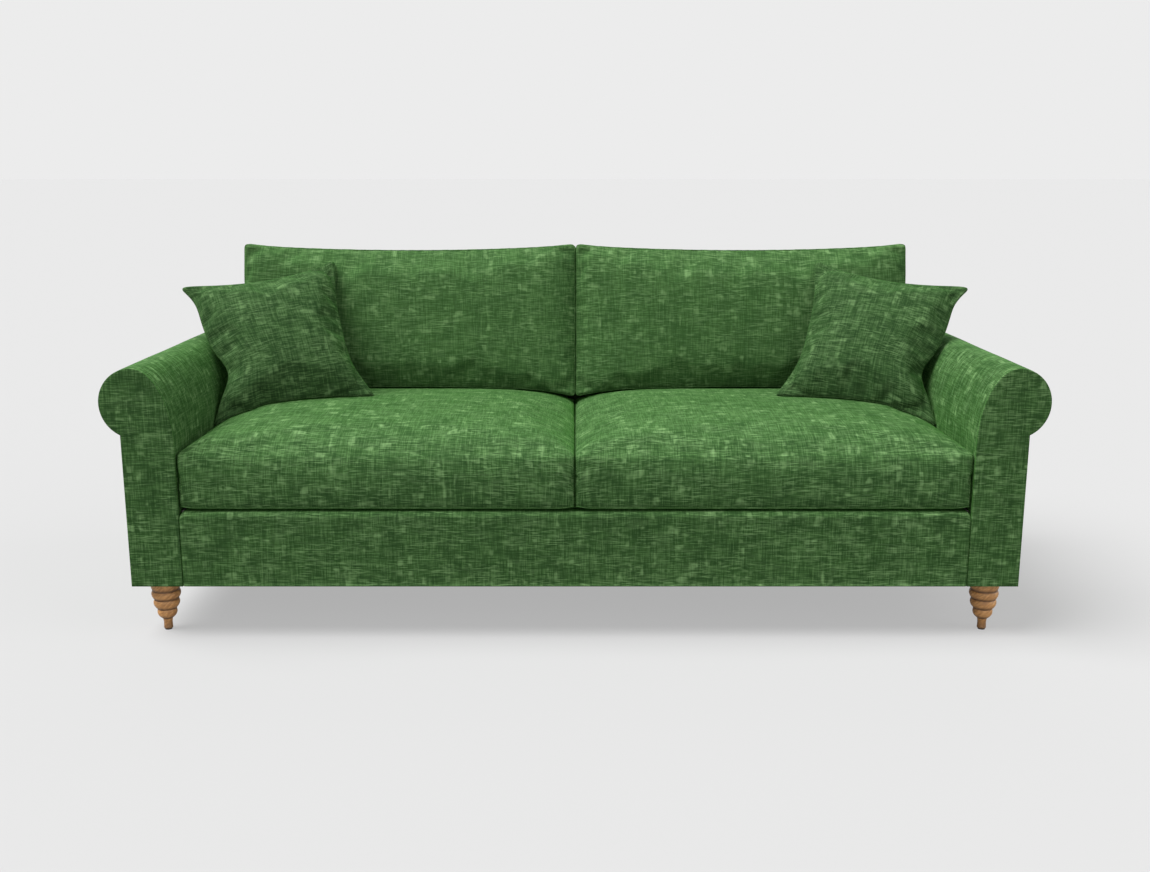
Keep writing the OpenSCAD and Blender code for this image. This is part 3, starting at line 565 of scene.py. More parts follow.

# %% [markdown]
# ## Seam ridges on the arms
#
# Where the facing and the cover meet, the two turned edges make a fine ridge. It is a narrow
# cord along the seam, half sunk between the two panels; its relief catches the light, and its
# cloth is a paler copy of the velvet, which paints a highlight on the ridge.


# %% Arm seams
def arm_seam(side, word, front):
    line = even(arm_line(1.7, OUTER_X, LEG_H + 60), 150)
    y = FRONT + FACING - 1.2 if front else BACK - FACING + 1.2
    path = np.stack([line[:, 0], np.full(len(line), y), line[:, 1]], 1)
    ahead = np.gradient(path, axis=0)
    normals = np.cross(ahead, [0, 1, 0])
    normals /= np.linalg.norm(normals, axis=1, keepdims=True)
    points, faces = on_side(side, *tube(path, normals, 2.1, closed=False))
    end = "front" if front else "back"
    piece(
        f"{word}_arm_{end}_seam", points, faces, "frame", seam_highlight_velvet,
        weave=by_place((1, 0, 1), (0, 3, 0), 55),
    )


for side, word in SIDES:
    for front in (True, False):
        arm_seam(side, word, front)

# %% [markdown]
# ## Front border and its lip
#
# The border is one piece of velvet over foam: up the front rail, over a soft edge and back on to
# the deck as a lip. Its ends are pulled round and down beside the facings, so the upper outer
# corners look rounded and a dark notch opens between them and the seat cushion.


# %% Front border
R_TOP, R_LOW = 14.0, 3.0  # the border's soft upper edge and its sharper lower one
R_END, R_CORNER = 6.0, 15.0  # how it turns back beside the facings, and down at its upper corners
BORDER_END = INNER_X - 0.6
QUARTER = np.linspace(0, math.pi / 2, 12)


def border_up():
    """(depth behind the front, height) up the border, over its edge and back along the lip."""
    low = [[R_LOW * (1 - math.cos(t)), LEG_H + R_LOW * (1 - math.sin(t))] for t in QUARTER[:-1]][::-1]
    front = [[0, z] for z in np.linspace(LEG_H + R_LOW, DECK_Z - R_TOP, 26)]
    top = [[R_TOP * (1 - math.cos(t)), DECK_Z - R_TOP * (1 - math.sin(t))] for t in QUARTER[1:]]
    lip = [[d, DECK_Z] for d in np.linspace(R_TOP, LIP_Y - FRONT, 12)[1:]]
    return np.array(low + front + top + lip)


def border_across():
    """(x, depth behind the front) from one end of the border to the other."""
    half = [[x, 0] for x in np.linspace(0, BORDER_END - 40, 46)]
    half += [[x, 0] for x in np.linspace(BORDER_END - 40, BORDER_END - R_END, 16)[1:]]
    half += [[BORDER_END - R_END + R_END * math.sin(t), R_END * (1 - math.cos(t))] for t in QUARTER[2::2]]
    half += [[BORDER_END, R_END + d] for d in (6, 12, 18)]
    half = np.array(half)
    return np.concatenate([half[:0:-1] * [-1, 1], half])


def border():
    line, across = border_up(), border_across()
    xs, turned_back = across[:, 0], across[:, 1]
    grid = np.zeros((len(line), len(xs), 3))
    grid[..., 0] = xs[None]
    on_lip = np.clip((line[:, :1] - R_TOP) / (LIP_Y - FRONT - R_TOP), 0, 1)
    grid[..., 1] = FRONT + line[:, :1] + turned_back[None] * (1 - on_lip)
    grid[..., 2] = line[:, 1:]
    from_end = (BORDER_END - np.abs(xs))[None]
    reach = np.clip(R_CORNER - from_end, 0, R_CORNER)
    down = R_CORNER - np.sqrt(R_CORNER**2 - reach**2)
    grid[..., 2] -= down * np.clip((grid[..., 2] - (DECK_Z - 60)) / 60, 0, 1) ** 1.5
    weight = np.clip(from_end / 60, 0, 1) * (line[:, :1] <= 0) * np.clip((line[:, 1:] - LEG_H) / 25, 0, 1)
    weight = weight * np.clip((DECK_Z - R_TOP - line[:, 1:]) / 25, 0, 1)
    grid[..., 1] += (0.7 + 0.7 * wander(grid, 150, 3.0)) * weight
    up = grid_normals(grid)
    up *= np.sign(up[20, len(xs) // 2] @ np.array([0, -1, 0.0]))
    points, faces = thick_sheet(grid, grid - up * 1.4)
    middle = np.cross(grid[21, 30] - grid[20, 30], grid[20, 31] - grid[20, 30])
    if middle @ up[20, 30] < 0:
        faces = [f[::-1] for f in faces]
    rows, columns = np.meshgrid(along_line(line), along_line(across), indexing="ij")
    ob = piece(
        "front_border_cloth", points, faces, "frame", frame_velvet, ["front_border_cover"],
        both_faces(columns, rows, 9000),
    )


border()

# %% [markdown]
# ## Flat panels
#
# The outside arms and the outside back are single panels stretched over board. They are almost
# flat, but the cloth gives a little between its tacked edges, and each edge turns under.


# %% Panels
def flat_panel(name, corner, across, up, thick, mat, replaces, seed, sag=0.8, step=18.0, turn=2.5):
    """A stretched panel from a corner point; thick runs inwards along the cross product."""
    corner, across, up = (np.asarray(v, float) for v in (corner, across, up))
    w, h = np.linalg.norm(across), np.linalg.norm(up)
    us, vs = spaced_ends(0, w, 1.2, step, 8), spaced_ends(0, h, 1.2, step, 8)
    u, v = np.meshgrid(us, vs, indexing="ij")
    grid = corner + across / w * u[..., None] + up / h * v[..., None]
    out = np.cross(across, up)
    out /= np.linalg.norm(out)
    edge = np.minimum(np.minimum(u, w - u), np.minimum(v, h - v))
    fall = turn * 0.6 * (1 - np.clip(edge / turn, 0, 1)) ** 2
    give = sag * (0.5 + 0.5 * wander(np.stack([u, v, u * 0], -1), 190, seed)) * np.clip(edge / 70, 0, 1)
    outer = grid - out * (fall + give)[..., None]
    inner = outer - out * (thick - 0.2)
    points, faces = thick_sheet(outer, inner)
    return piece(name, points, faces, "frame", mat, replaces, both_faces(u, v, 2000 * seed))


# %% Outside arms and outside back
panel_h = arm_line(0, OUTER_X)[-1][1] - 0.3 - LEG_H - 1  # from the base up to the roll's underside
for side, word in SIDES:
    ys = (FRONT + FACING, BACK - FACING) if side > 0 else (BACK - FACING, FRONT + FACING)
    ob = flat_panel(
        f"{word}_outside_arm_panel",
        (side * OUTER_X, ys[0], LEG_H + 1), (0, ys[1] - ys[0], 0), (0, 0, panel_h),
        COVER, frame_velvet, [f"{word}_outside_arm_cover"], 3 + side,
    )
cap_z = BACK_H - CAP_R
ob = flat_panel(
    "outside_back_panel", (INNER_X, BACK, LEG_H), (-2 * INNER_X, 0, 0), (0, 0, cap_z - LEG_H), COVER,
    frame_velvet, ["outside_back_cover"], 8, sag=1.2,
)

# %% [markdown]
# ## Inside back
#
# Behind the back cushions the velvet runs up the raked padding, over the top rail and down to
# the outside back. Only the top of it shows, above the cushions, and its ends close the back
# beside the arms.


# %% Inside back
def rake_y(z, layer=0.0):
    """How far back the sloping inside back lies at height z, a layer behind its face."""
    return FOOT_Y + (z - DECK_Z) * math.tan(RAKE) + layer / math.cos(RAKE)


def back_line(inset, low_z):
    """(y, z) up the raked inside back, over its top and down to the outside back."""
    r = CAP_R - inset
    a = np.linspace(0, math.pi / 2, 10)
    front, rear = rake_y(cap_z, inset) + r, BACK - CAP_R
    rise = [[rake_y(z, inset), z] for z in np.linspace(low_z, cap_z, 30)[:-1]]
    over = [[front - r * math.cos(t), cap_z + r * math.sin(t)] for t in a]
    flat = [[y, cap_z + r] for y in np.linspace(front, rear, 5)[1:-1]]
    down = [[rear + r * math.cos(t), cap_z + r * math.sin(t)] for t in a[::-1]]
    return np.array(rise + over + flat + down)


def inside_back():
    line = back_line(0, PAD_Z)
    xs = spaced_ends(-INNER_X + 0.3, INNER_X - 0.3, 1.5, 22, 14)
    grid = np.zeros((len(xs), len(line), 3))
    grid[..., 0] = xs[:, None]
    grid[..., 1], grid[..., 2] = line[:, 0], line[:, 1]
    up = grid_normals(grid)
    up *= np.sign((up * np.array([0, -1, 0.3])).sum(2, keepdims=True))
    up[:, -8:] *= np.where((up[:, -8:, 1:2] < -0.5), -1, 1)
    from_end = (INNER_X - 0.3 - np.abs(xs))[:, None]
    fall = 1.6 * (1 - np.clip(from_end / 6, 0, 1)) ** 2 + 0.25 + 0.25 * wander(grid, 160, 9.0)
    outer = grid - up * fall[..., None]
    inner = outer - up * 1.6
    points, faces = thick_sheet(outer, inner)
    check = np.cross(outer[1, 0] - outer[0, 0], outer[0, 1] - outer[0, 0])
    if check[1] > 0:
        faces = [f[::-1] for f in faces]
    ob = piece(
        "inside_back_cloth", points, faces, "frame", frame_velvet, ["inside_back_cover"],
        by_place((1, 0, 0), (0, -1, 1), 13000),
    )


inside_back()


# %% The closed ends of the back
def back_ends():
    outline = anticlockwise(dense(np.concatenate([back_line(1.0, PAD_Z), [[BACK - COVER, PAD_Z]]]), 14))

    def place(p):
        return np.stack([INNER_X - COVER + p[:, 2], p[:, 0], p[:, 1]], 1)

    for side, word in SIDES:
        points, faces = on_side(side, *rounded_panel(outline, COVER, 1.4, place))
        piece(
            f"{word}_back_end_panel", points, faces, "frame", frame_velvet,
            weave=by_place((0, 1, 0), (0, 0, 1), 150),
        )


back_ends()

# %% [markdown]
# ## Loose cushions
#
# Each cushion is one closed form: two panels that dome in the middle, sides that draw in
# between the corners, and a boxed edge between them. The CAD has the same form with far fewer
# faces. The fine grid is then settled as cloth with air pressure in it and no gravity, so the
# velvet takes small folds where it is held by its seams, and no point may move far, so the
# cushion keeps the place that the CAD gave it. Working on the grid instead of a voxel remesh
# keeps the panels, so the seams can be laid along them afterwards.


# %% A cushion's form
def grid_at(n):
    """n + 1 places from -1 to 1, closer together towards the ends."""
    t = np.arange(n + 1) / n * 2 - 1
    return 0.6 * np.sin(t * math.pi / 2) + 0.4 * t


def run_along(grid, axis):
    """Distance along a grid's lines, measured from its middle."""
    step = np.linalg.norm(np.diff(grid, axis=axis), axis=2)
    run = np.cumsum(np.insert(step, 0, 0, axis=axis), axis=axis)
    return run - np.take(run, [run.shape[axis] // 2], axis=axis)


def pillow(form, nu, nv, bands, boxed=True):
    """Points, faces, the rows round the edge from the top panel's rim to the base's, and the
    weave of each face's corners. form holds the size, the dome and the rounding above and below,
    how far the sides draw in, how square the corners are and how far the sides swell, and the
    shape of the dome. The weft and warp distances are measured along the panels. A boxed cushion's
    sides are strips of their own; otherwise the top panel runs over the front."""
    (w, l, t), (dome_t, round_t), (dome_b, round_b), pull, (power, swell), shape = form
    u, v = np.meshgrid(grid_at(nu), grid_at(nv), indexing="ij")
    big = np.maximum(np.abs(u), np.abs(v))
    total = (np.abs(u) ** power + np.abs(v) ** power) ** (1 / power)
    share = np.where(big > 0, big / np.maximum(total, 1e-12), 0)
    p, q = u * share, v * share
    x = p * (w / 2 - swell - pull[0] * (1 - q * q))
    y = q * (l / 2 - swell - pull[1] * (1 - p * p))
    edge = np.sqrt(np.clip((1 - np.abs(u) ** 10) * (1 - np.abs(v) ** 10), 0, None))
    dome = ((1 - np.abs(u) ** shape[0]) * (1 - np.abs(v) ** shape[0])) ** shape[1]
    top = np.stack([x, y, t / 2 - round_t + round_t * edge + dome_t * dome], -1)
    low = np.stack([x, y, -(t / 2 - round_b + round_b * edge + dome_b * dome)], -1)
    ids = np.arange((nu + 1) * (nv + 1)).reshape(nu + 1, nv + 1)
    sides = [ids[:-1, 0], ids[-1, :-1], ids[:0:-1, -1], ids[0, :0:-1]]
    rim = np.concatenate(sides)
    count = ids.size
    weft = run_along(top, 0).ravel()
    warp = run_along(top, 1).ravel()
    top, low = top.reshape(-1, 3), low.reshape(-1, 3)
    rows, points = [rim], [top, low]
    for b in range(1, bands):
        s = b / bands
        out = swell * math.sin(math.pi * s)
        row = top[rim] * [1 + out * 2 / w, 1 + out * 2 / l, 1]
        row[:, 2] = top[rim, 2] + (low[rim, 2] - top[rim, 2]) * s
        rows.append(2 * count + (b - 1) * len(rim) + np.arange(len(rim)))
        points.append(row)
    rows.append(rim + count)
    panel = cloth_grid(ids)
    faces = panel.tolist() + (panel[:, ::-1] + count).tolist()
    weave = [np.stack([weft[panel], warp[panel], panel * 0], -1)]
    weave.append(np.stack([weft[panel], warp[panel] + 2000, panel * 0], -1)[:, ::-1])
    side_of = np.repeat(np.arange(4), [len(k) for k in sides])
    following = np.roll(rim, -1)
    height = top[rim, 2] - low[rim, 2]
    for b, (upper, lower) in enumerate(zip(rows[:-1], rows[1:])):
        faces += np.stack([upper, lower, np.roll(lower, -1), np.roll(upper, -1)], 1).tolist()
        here, there = height * b / bands, height * (b + 1) / bands
        corners = []
        for at, fall in ((rim, here), (rim, there), (following, there), (following, here)):
            fronts = np.stack([weft[at], warp[at] + np.where(side_of == 0, -fall, fall) + 3000 * boxed], -1)
            ends = np.stack([warp[at] + 5000, fall], -1)
            corners.append(np.where((side_of % 2 == 0)[:, None], fronts, ends))
        corners = np.stack(corners, 1)
        weave.append(np.concatenate([corners, corners[..., :1] * 0], -1))
    return np.concatenate(points), faces, rows, np.concatenate(weave)


print("cells across 1 m, at its edge and in its middle:", (np.diff(grid_at(84))[[0, 42]] * 500).round(1), "mm")


# %% Settling as cloth
def settle(points, faces, grow, pressure, cap, pins, stiff=12.0, bend=0.6, frames=20):
    """Cloth with air pressure in it and no gravity; returns where the points went, within cap."""
    ob = bpy.data.objects.new("settling", plain_mesh("settling", points / 1000, faces))
    scene.collection.objects.link(ob)
    held = ob.vertex_groups.new(name="held")
    for share in np.unique(np.round(pins, 2)):
        if share > 0:
            held.add(np.flatnonzero(np.round(pins, 2) == share).tolist(), float(share), "REPLACE")
    cloth = ob.modifiers.new("cloth", "CLOTH")
    s = cloth.settings
    s.vertex_group_mass = "held"
    s.quality = 6
    s.mass = 0.35  # kg to each point, heavy enough to settle calmly
    s.tension_stiffness = s.compression_stiffness = s.shear_stiffness = stiff
    s.bending_stiffness = bend
    s.use_pressure = True
    s.uniform_pressure_force = pressure
    s.shrink_min = -grow
    s.effector_weights.gravity = 0
    cloth.point_cache.frame_start, cloth.point_cache.frame_end = 1, frames
    for f in range(1, frames + 1):
        scene.frame_set(f)
    dg = bpy.context.evaluated_depsgraph_get()
    after = np.empty(len(points) * 3)
    ob.evaluated_get(dg).data.vertices.foreach_get("co", after)
    bpy.data.objects.remove(ob)
    scene.frame_set(1)
    move = after.reshape(-1, 3) * 1000 - points
    length = np.linalg.norm(move, axis=1, keepdims=True)
    print(f"settled {len(points)} points: median move {np.median(length):.1f} mm, largest {length.max():.1f} mm")
    return points + move * np.minimum(1, cap / np.maximum(length, 1e-9))


def vertex_normals(points, faces):
    """Blender's own smooth normals."""
    mesh = plain_mesh("normals", points, faces)
    found = np.empty(len(points) * 3)
    mesh.vertices.foreach_get("normal", found)
    bpy.data.meshes.remove(mesh)
    return found.reshape(-1, 3)


print("the cushions are settled as cloth")


# %% Both cushions of a pair
def cushion(kind, points, made, turn, seams, mat, seed, seam_mat=seam_highlight_velvet, meet=lambda p: p):
    """Both cushions of a pair, with their seams. turn puts local points (mm) in the frame, meet
    shapes the sides that face each other, and made is what pillow() gave; points are its points
    after settling. Each seam is its label, its row of points, its radius and how deep it is sunk."""
    faces, weave = made[1], made[3]
    placed = turn(points)
    normals = vertex_normals(placed, faces)
    for side, word in SIDES:
        body = f"{word}_{kind}"
        p, f = on_side(side, placed, faces)
        spots = (weave[:, ::-1] if side < 0 else weave).reshape(-1, 3) + [0, 0, 9000 * seed + 4000 * side]
        ob = piece(
            f"{body}_cushion_cover", meet(p), f, body, mat, [f"{body}_cushion"],
            lambda co, corner: spots,
        )
        for label, loop, radius, sink in seams:
            path = placed[loop] - normals[loop] * sink
            tp, tf = on_side(side, *tube(path, normals[loop], radius))
            piece(
                f"{body}_{label}", meet(tp), tf, body, seam_mat,
                weave=by_place((1, 1, 0), (0, 0, 2), 300),
            )


# %% [markdown]
# ## Seat cushions
#
# Foam wrapped in fibre: plump, with a strong crown, and a waterfall front where the top panel
# runs over the edge without a seam. A seam shows only low on the front, above the dark gap over
# the border. The settled form gets the last touches by moving its points, since it has to press
# against its neighbours without entering them: more crown, a rolled front edge, and a lower edge
# that tucks under.


# %% The seat's form
SEAT_W, SEAT_D, SEAT_T = 978.0, 835.0, 151.0
seat_form = [(SEAT_W - 1.2, SEAT_D - 1.2, SEAT_T), (37, 20), (0, 4), (1, 3), (80, 1.5), (4, 0.8)]
CUSHION_X = 490.0  # the middle of the right-hand cushions
seat_at = np.array([CUSHION_X, FRONT + 2 + SEAT_D / 2, DECK_Z + 0.6 + SEAT_T / 2])
FRONT_ROLL, ROLL_REACH = 17.0, 45.0  # how far the front edge gives, and how far that is felt
FULLER, FULLER_EDGES, FULLER_MIDDLE = 4.0, 9.0, 9.0  # more crown than the CAD has
CORNER_LIFT, CORNER_REACH = 8.0, 20.0  # the lower front corners turn up
TUCK, TUCK_REACH = 5.5, 13.0  # the lower front edge goes in and up


def rolled(p, share):
    """The front edge of the seat, rolled over by the weight of those who sat on it."""
    off = np.hypot(p[:, 1] + SEAT_D / 2, SEAT_T / 2 + 4 - p[:, 2])
    give = FRONT_ROLL * np.exp(-((off / ROLL_REACH) ** 2)) * share
    return p + np.stack([give * 0, give * 0.75, -give * 0.6], 1)


def meeting_sides(p):
    """The inner side is pressed flat against the other seat, and the outer side clears the arm."""
    inner = SEAT_W / 2 + 0.8
    share = inner / (SEAT_W / 2 - 0.6 - (1 - np.clip(p[:, 1] * 2 / SEAT_D, -1, 1) ** 2))
    p[:, 0] = np.where(p[:, 0] < 0, p[:, 0] * share, p[:, 0])
    p[:, 0] = np.clip(p[:, 0], -inner, SEAT_W / 2 - 1.7)
    p[:, 1] = np.maximum(p[:, 1], -SEAT_D / 2 + 0.3)
    return p


def crowned(p):
    """More crown: a little all over, more in the middle, beside the arm and along the front."""
    x, y = p[:, 0], p[:, 1]
    arm_side, front_side = np.clip(x * 2 / SEAT_W, 0, 1) ** 3, np.clip(-y * 2 / SEAT_D, 0, 1) ** 3
    fuller = FULLER * np.clip(x / 200 + SEAT_W / 400, 0, 1)
    fuller += FULLER_EDGES * (1 - (1 - arm_side) * (1 - front_side))
    across = 1 - np.clip(np.abs(x) * 2 / SEAT_W, 0, 1) ** 4
    fuller += FULLER_MIDDLE * np.exp(-((y / 230) ** 2)) * across
    p[:, 2] += fuller * np.clip((p[:, 2] + SEAT_T / 2) / (SEAT_T - 20), 0, 1)
    return p


def tucked_under(p, to_corner):
    """The lower front edge is drawn in by its seam, and most at its corners."""
    base = np.clip(1 - (p[:, 2] + SEAT_T / 2) / 60, 0, 1)
    p[:, 2] += CORNER_LIFT * base * np.exp(-((to_corner / CORNER_REACH) ** 2))
    off = np.hypot(p[:, 1] + SEAT_D / 2, p[:, 2] + SEAT_T / 2)
    give = TUCK * np.exp(-((off / TUCK_REACH) ** 2))
    return p + np.stack([give * 0, give, give * 0.9], 1)


# %% Seat cushions
def seat_cushions():
    made = pillow(seat_form, 84, 72, 10, boxed=False)
    points, faces, rows, _ = made
    pins = np.zeros(len(points))
    pins[rows[-1]] = 1
    pins[rows[0]] = 0.9
    pins[points[:, 2] < -SEAT_T / 2 + 6] = 1
    after = settle(points, faces, 0.012, 1.2, 7.0, pins)
    normals = vertex_normals(points, faces)
    along = ((after - points) * normals).sum(1, keepdims=True)
    after -= normals * np.maximum(along - 1.0, 0)
    under_back = np.clip((after[:, 1:2] + SEAT_D / 2 - 480) / 90, 0, 1)
    after = meeting_sides(after * (1 - under_back) + points * under_back)
    to_corner = np.hypot(SEAT_W / 2 - np.abs(after[:, 0]), SEAT_D / 2 + after[:, 1])
    after = crowned(after)
    after = rolled(after, 1 - np.clip(np.abs(after[:, 0]) * 2 / SEAT_W, 0, 1) ** 6)
    after = tucked_under(after, to_corner)
    print(f"seat cushion's crown: {after[:, 2].max() - SEAT_T / 2:.1f} mm over its {SEAT_T:g} mm")
    cushion(
        "seat", after, made, lambda p: p + seat_at,
        [("base_seam", rows[-1], 1.6, 0.2)], seat_velvet, 1,
    )


seat_cushions()

# %% [markdown]
# ## Back cushions
#
# Softer, fibre-filled and boxed. Each stands on its seat cushion and leans on the raked inside
# back; its top edge dips in the middle and its outer side flares towards the arm. Fine seams run
# round both panels.


# %% The back cushion's form
BACK_W, BACK_L, BACK_T = 978.0, 448.0, 146.0
back_form = [(BACK_W, BACK_L, BACK_T), (24, 18), (0, 18), (5, 15), (60, 2), (3, 1)]
FLARE, BULGE = 12.0, 6.0  # how far the outer side leans out at the top, and swells below it
PRESSED, EAR = 0.85, 5.0  # past the middle of the sofa, and how far the top corners rise
BOW = 3.5


def leaned(p):
    """Local x across, y up the slope and z forwards, turned to lean on the raked back."""
    c, n = math.cos(math.pi / 2 - RAKE), math.sin(math.pi / 2 - RAKE)
    return np.stack([p[:, 0], p[:, 1] * c - p[:, 2] * n, p[:, 1] * n + p[:, 2] * c], 1)


def pressed_together(p):
    """The two inner sides meet in a shallow curve, so that no light comes between them."""
    depth = (p[:, 1] - rake_y(p[:, 2])) / BACK_T + 0.5
    bow = BOW * np.exp(-((p[:, 0] / 30) ** 2)) * np.cos(math.pi * np.clip(depth, -0.5, 0.5))
    return p + np.stack([bow, bow * 0, bow * 0], 1)


def stood_on_seat(x, y, z, up):
    """The base follows the seat's crown, and the front stays full down to it."""
    from_middle = np.clip((x + BACK_W / 2) / 170, 0, 1)
    on_seat = 16 * from_middle * (2 - from_middle) - 8.5 + 10 * np.clip(x * 2 / BACK_W, 0, 1) ** 3
    low = np.clip(-up, 0, 1)
    full = (6 * low**2 + 6 * low**6) * np.clip(z * 4 / BACK_T, 0, 1)
    return y + on_seat * np.clip(1 - (y + BACK_L / 2) / 120, 0, 1), z + full


def back_shape(p):
    """The outer side flares towards the arm, the inner one is pressed flat, the top corners rise."""
    x, y, z = p.T.copy()
    up = np.clip(y * 2 / BACK_L, -1, 1)
    flare = 1 + 2 / BACK_W * (FLARE * np.clip(1 + up, None, 1) + BULGE * np.exp(-(((y - 110) / 90) ** 2)))
    pressed = (BACK_W / 2 + PRESSED) / (BACK_W / 2 - 5 * (1 - up**2))
    x = np.where(x > 0, x * flare, np.maximum(x * pressed, -BACK_W / 2 - PRESSED))
    y = y + EAR * np.clip(up, 0, 1) ** 4 * np.abs(x * 2 / BACK_W) ** 10
    y, z = stood_on_seat(x, y, z, up)
    return np.stack([x, y, z], 1)


print("the back cushion's outer side reaches", arm_face(np.array([550.0, 640.0])).round(), "at 550 and 640 mm")


# %% Back cushions
def back_cushions():
    made = pillow(back_form, 84, 44, 8)
    points, faces, rows, _ = made
    pins = np.zeros(len(points))
    pins[rows[0]] = pins[rows[-1]] = 1
    pins[points[:, 2] < -BACK_T / 2 + 3] = 1
    small = points.copy()
    small[:, 2] = np.where(points[:, 2] > 0, points[:, 2] - 2, points[:, 2])
    after = settle(small, faces, 0.02, 1.4, 9.0, pins)
    after[:, 1] = np.maximum(after[:, 1], points[:, 1].min() + 0.4)
    normals = vertex_normals(points, faces)
    over = ((after - points) * normals).sum(1, keepdims=True)
    after -= normals * np.maximum(over - 2.0, 0)
    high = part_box("right_back_cushion")[1]
    as_cut = leaned(pillow(back_form, 40, 30, 4)[0])
    shift = np.array([CUSHION_X, high.y * 1000 - as_cut[:, 1].max(), high.z * 1000 - as_cut[:, 2].max()])

    def turn(p):
        placed = leaned(back_shape(p)) + shift
        placed[:, 0] = np.minimum(placed[:, 0], arm_face(placed[:, 2]))
        return placed

    cushion(
        "back", after, made, turn,
        [("front_seam", rows[0], 1.3, 0.2), ("rear_seam", rows[-1], 1.3, 0.2)],
        back_velvet, 2, meet=pressed_together,
    )


back_cushions()

# %% [markdown]
# ## Scatter cushions
#
# Square and knife-edged: two panels sewn together all round, with no box between them. The
# corners stay as pointed ears because no filling reaches them, and the sides draw in. The arm
# presses the outer side in. How far its lower edge hangs down depends on the settled seat, so
# rays are sent down from the edge to find it.


# %% The scatter cushion's form and place
SCATTER_W, SCATTER_T, EDGE = 442.0, 132.0, 5.0
DOME = (SCATTER_T - EDGE) / 2
scatter_form = [(SCATTER_W, SCATTER_W, EDGE), (DOME - 3, 0), (DOME - 3, 0), (30, 30), (24, 0), (2.2, 0.62)]
LEAN, SPIN, TIP = 39, 17, 9  # degrees back, round and over on to one corner
RAISE = 9.0  # the corners stand this much higher than the CAD's
REST = 3.2  # left between the edge's middle line and the seat, for the cushion's own seam


def turned(p):
    """Stood up, tipped on to a corner, leaned back and turned to face the middle of the sofa."""

    def about(p, k, angle):
        c, s = math.cos(math.radians(angle)), math.sin(math.radians(angle))
        i, j = (k + 1) % 3, (k + 2) % 3
        q = p.copy()
        q[:, i], q[:, j] = p[:, i] * c - p[:, j] * s, p[:, i] * s + p[:, j] * c
        return q

    return about(about(about(about(p, 0, 90), 1, TIP), 0, -LEAN), 2, -SPIN)


def pushed_in(p, u, v):
    """The arm presses a waist into the outer side, the inner side gives, and the corners are pulled."""
    x, y, z = p.T.copy()
    outwards, inwards = np.clip(u, 0, None), np.clip(-u, 0, None)
    waist = 40 * np.exp(-(((v + 0.37) / 0.3) ** 2)) * outwards
    ear = 9 * np.exp(-(((v - 0.68) / 0.22) ** 2)) * outwards**3
    inner = 11 * np.exp(-(((v - 0.3) / 0.45) ** 2)) + 28 * np.exp(-(((v + 0.5) / 0.5) ** 2)) * (1 - v**10)
    inner *= inwards**3
    tip = np.where(v > 0, 17, 24) * outwards**8 * np.abs(v) ** 8
    top, bottom = np.clip(v, 0, None), np.clip(-v, 0, None)
    fall = 9 * (1 - u**2) * top**3 - 20 * bottom**4 * np.clip(0.35 - u, 0, 1)
    fall += 16 * top**6 * inwards**4
    return np.stack([x - waist - ear + inner + tip, y + fall, z], 1)


def drop_to_seat(placed, rim, u, v):
    """Lowers the bottom edge on to the seat cushion; the edge gives, the rest follows less."""
    seat = bpy.data.objects["right_seat_cushion_cover"].data
    tree = BVHTree.FromPolygons([p.co * 1000 for p in seat.vertices], [f.vertices[:] for f in seat.polygons])
    edge = [i for i in rim if v[i] < -abs(u[i]) * 0.99]
    edge.sort(key=lambda i: u[i])
    gaps = [tree.ray_cast(Vector(placed[i]), Vector((0, 0, -1)))[3] for i in edge]
    known = [(u[i], gap) for i, gap in zip(edge, gaps) if gap]
    gaps = [gap for _, gap in known]
    print(f"scatter cushion's edge lowered by {min(gaps):.1f} to {max(gaps):.1f} mm")
    fall = np.interp(u, *zip(*known)) - REST
    placed[:, 2] -= fall * np.clip(1 - (v + 1) / 0.9, 0, 1) ** 1.5
    return placed


# %% Scatter cushions
def scatter_cushions():
    made = pillow(scatter_form, 60, 60, 3)
    points, faces, rows, _ = made
    pins = np.zeros(len(points))
    for row in rows:
        pins[row] = 1
    after = settle(points, faces, 0.04, 2.0, 12.0, pins, stiff=10, bend=0.3)
    low, high = (corner * 1000 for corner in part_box("right_scatter_cushion"))
    as_cut = turned(pillow(scatter_form, 40, 40, 3)[0])
    shift = np.array([
        low.x - as_cut[:, 0].min(), high.y - as_cut[:, 1].max(), high.z - as_cut[:, 2].max() + RAISE
    ])

    def turn(p):
        u, v = p[:, 0] * 2 / SCATTER_W, p[:, 1] * 2 / SCATTER_W
        placed = turned(pushed_in(p, u, v)) + shift
        placed[:, 1] += 19 * np.clip(v, 0, None) ** 3 * np.clip(-u, 0, None) ** 3
        return drop_to_seat(placed, rows[1], u, v)

    cushion(
        "scatter", after, made, turn, [("edge_seam", rows[1], 1.7, 0.2)],
        scatter_velvet, 3, seam_mat=scatter_velvet,
    )


scatter_cushions()

# %% [markdown]
# ## Foam, fibre and felt inside
#
# The padding and the fillings are cut or stuffed shapes that nobody sees. Each is a copy of the
# CAD's solid with its edges eased, in its own material.


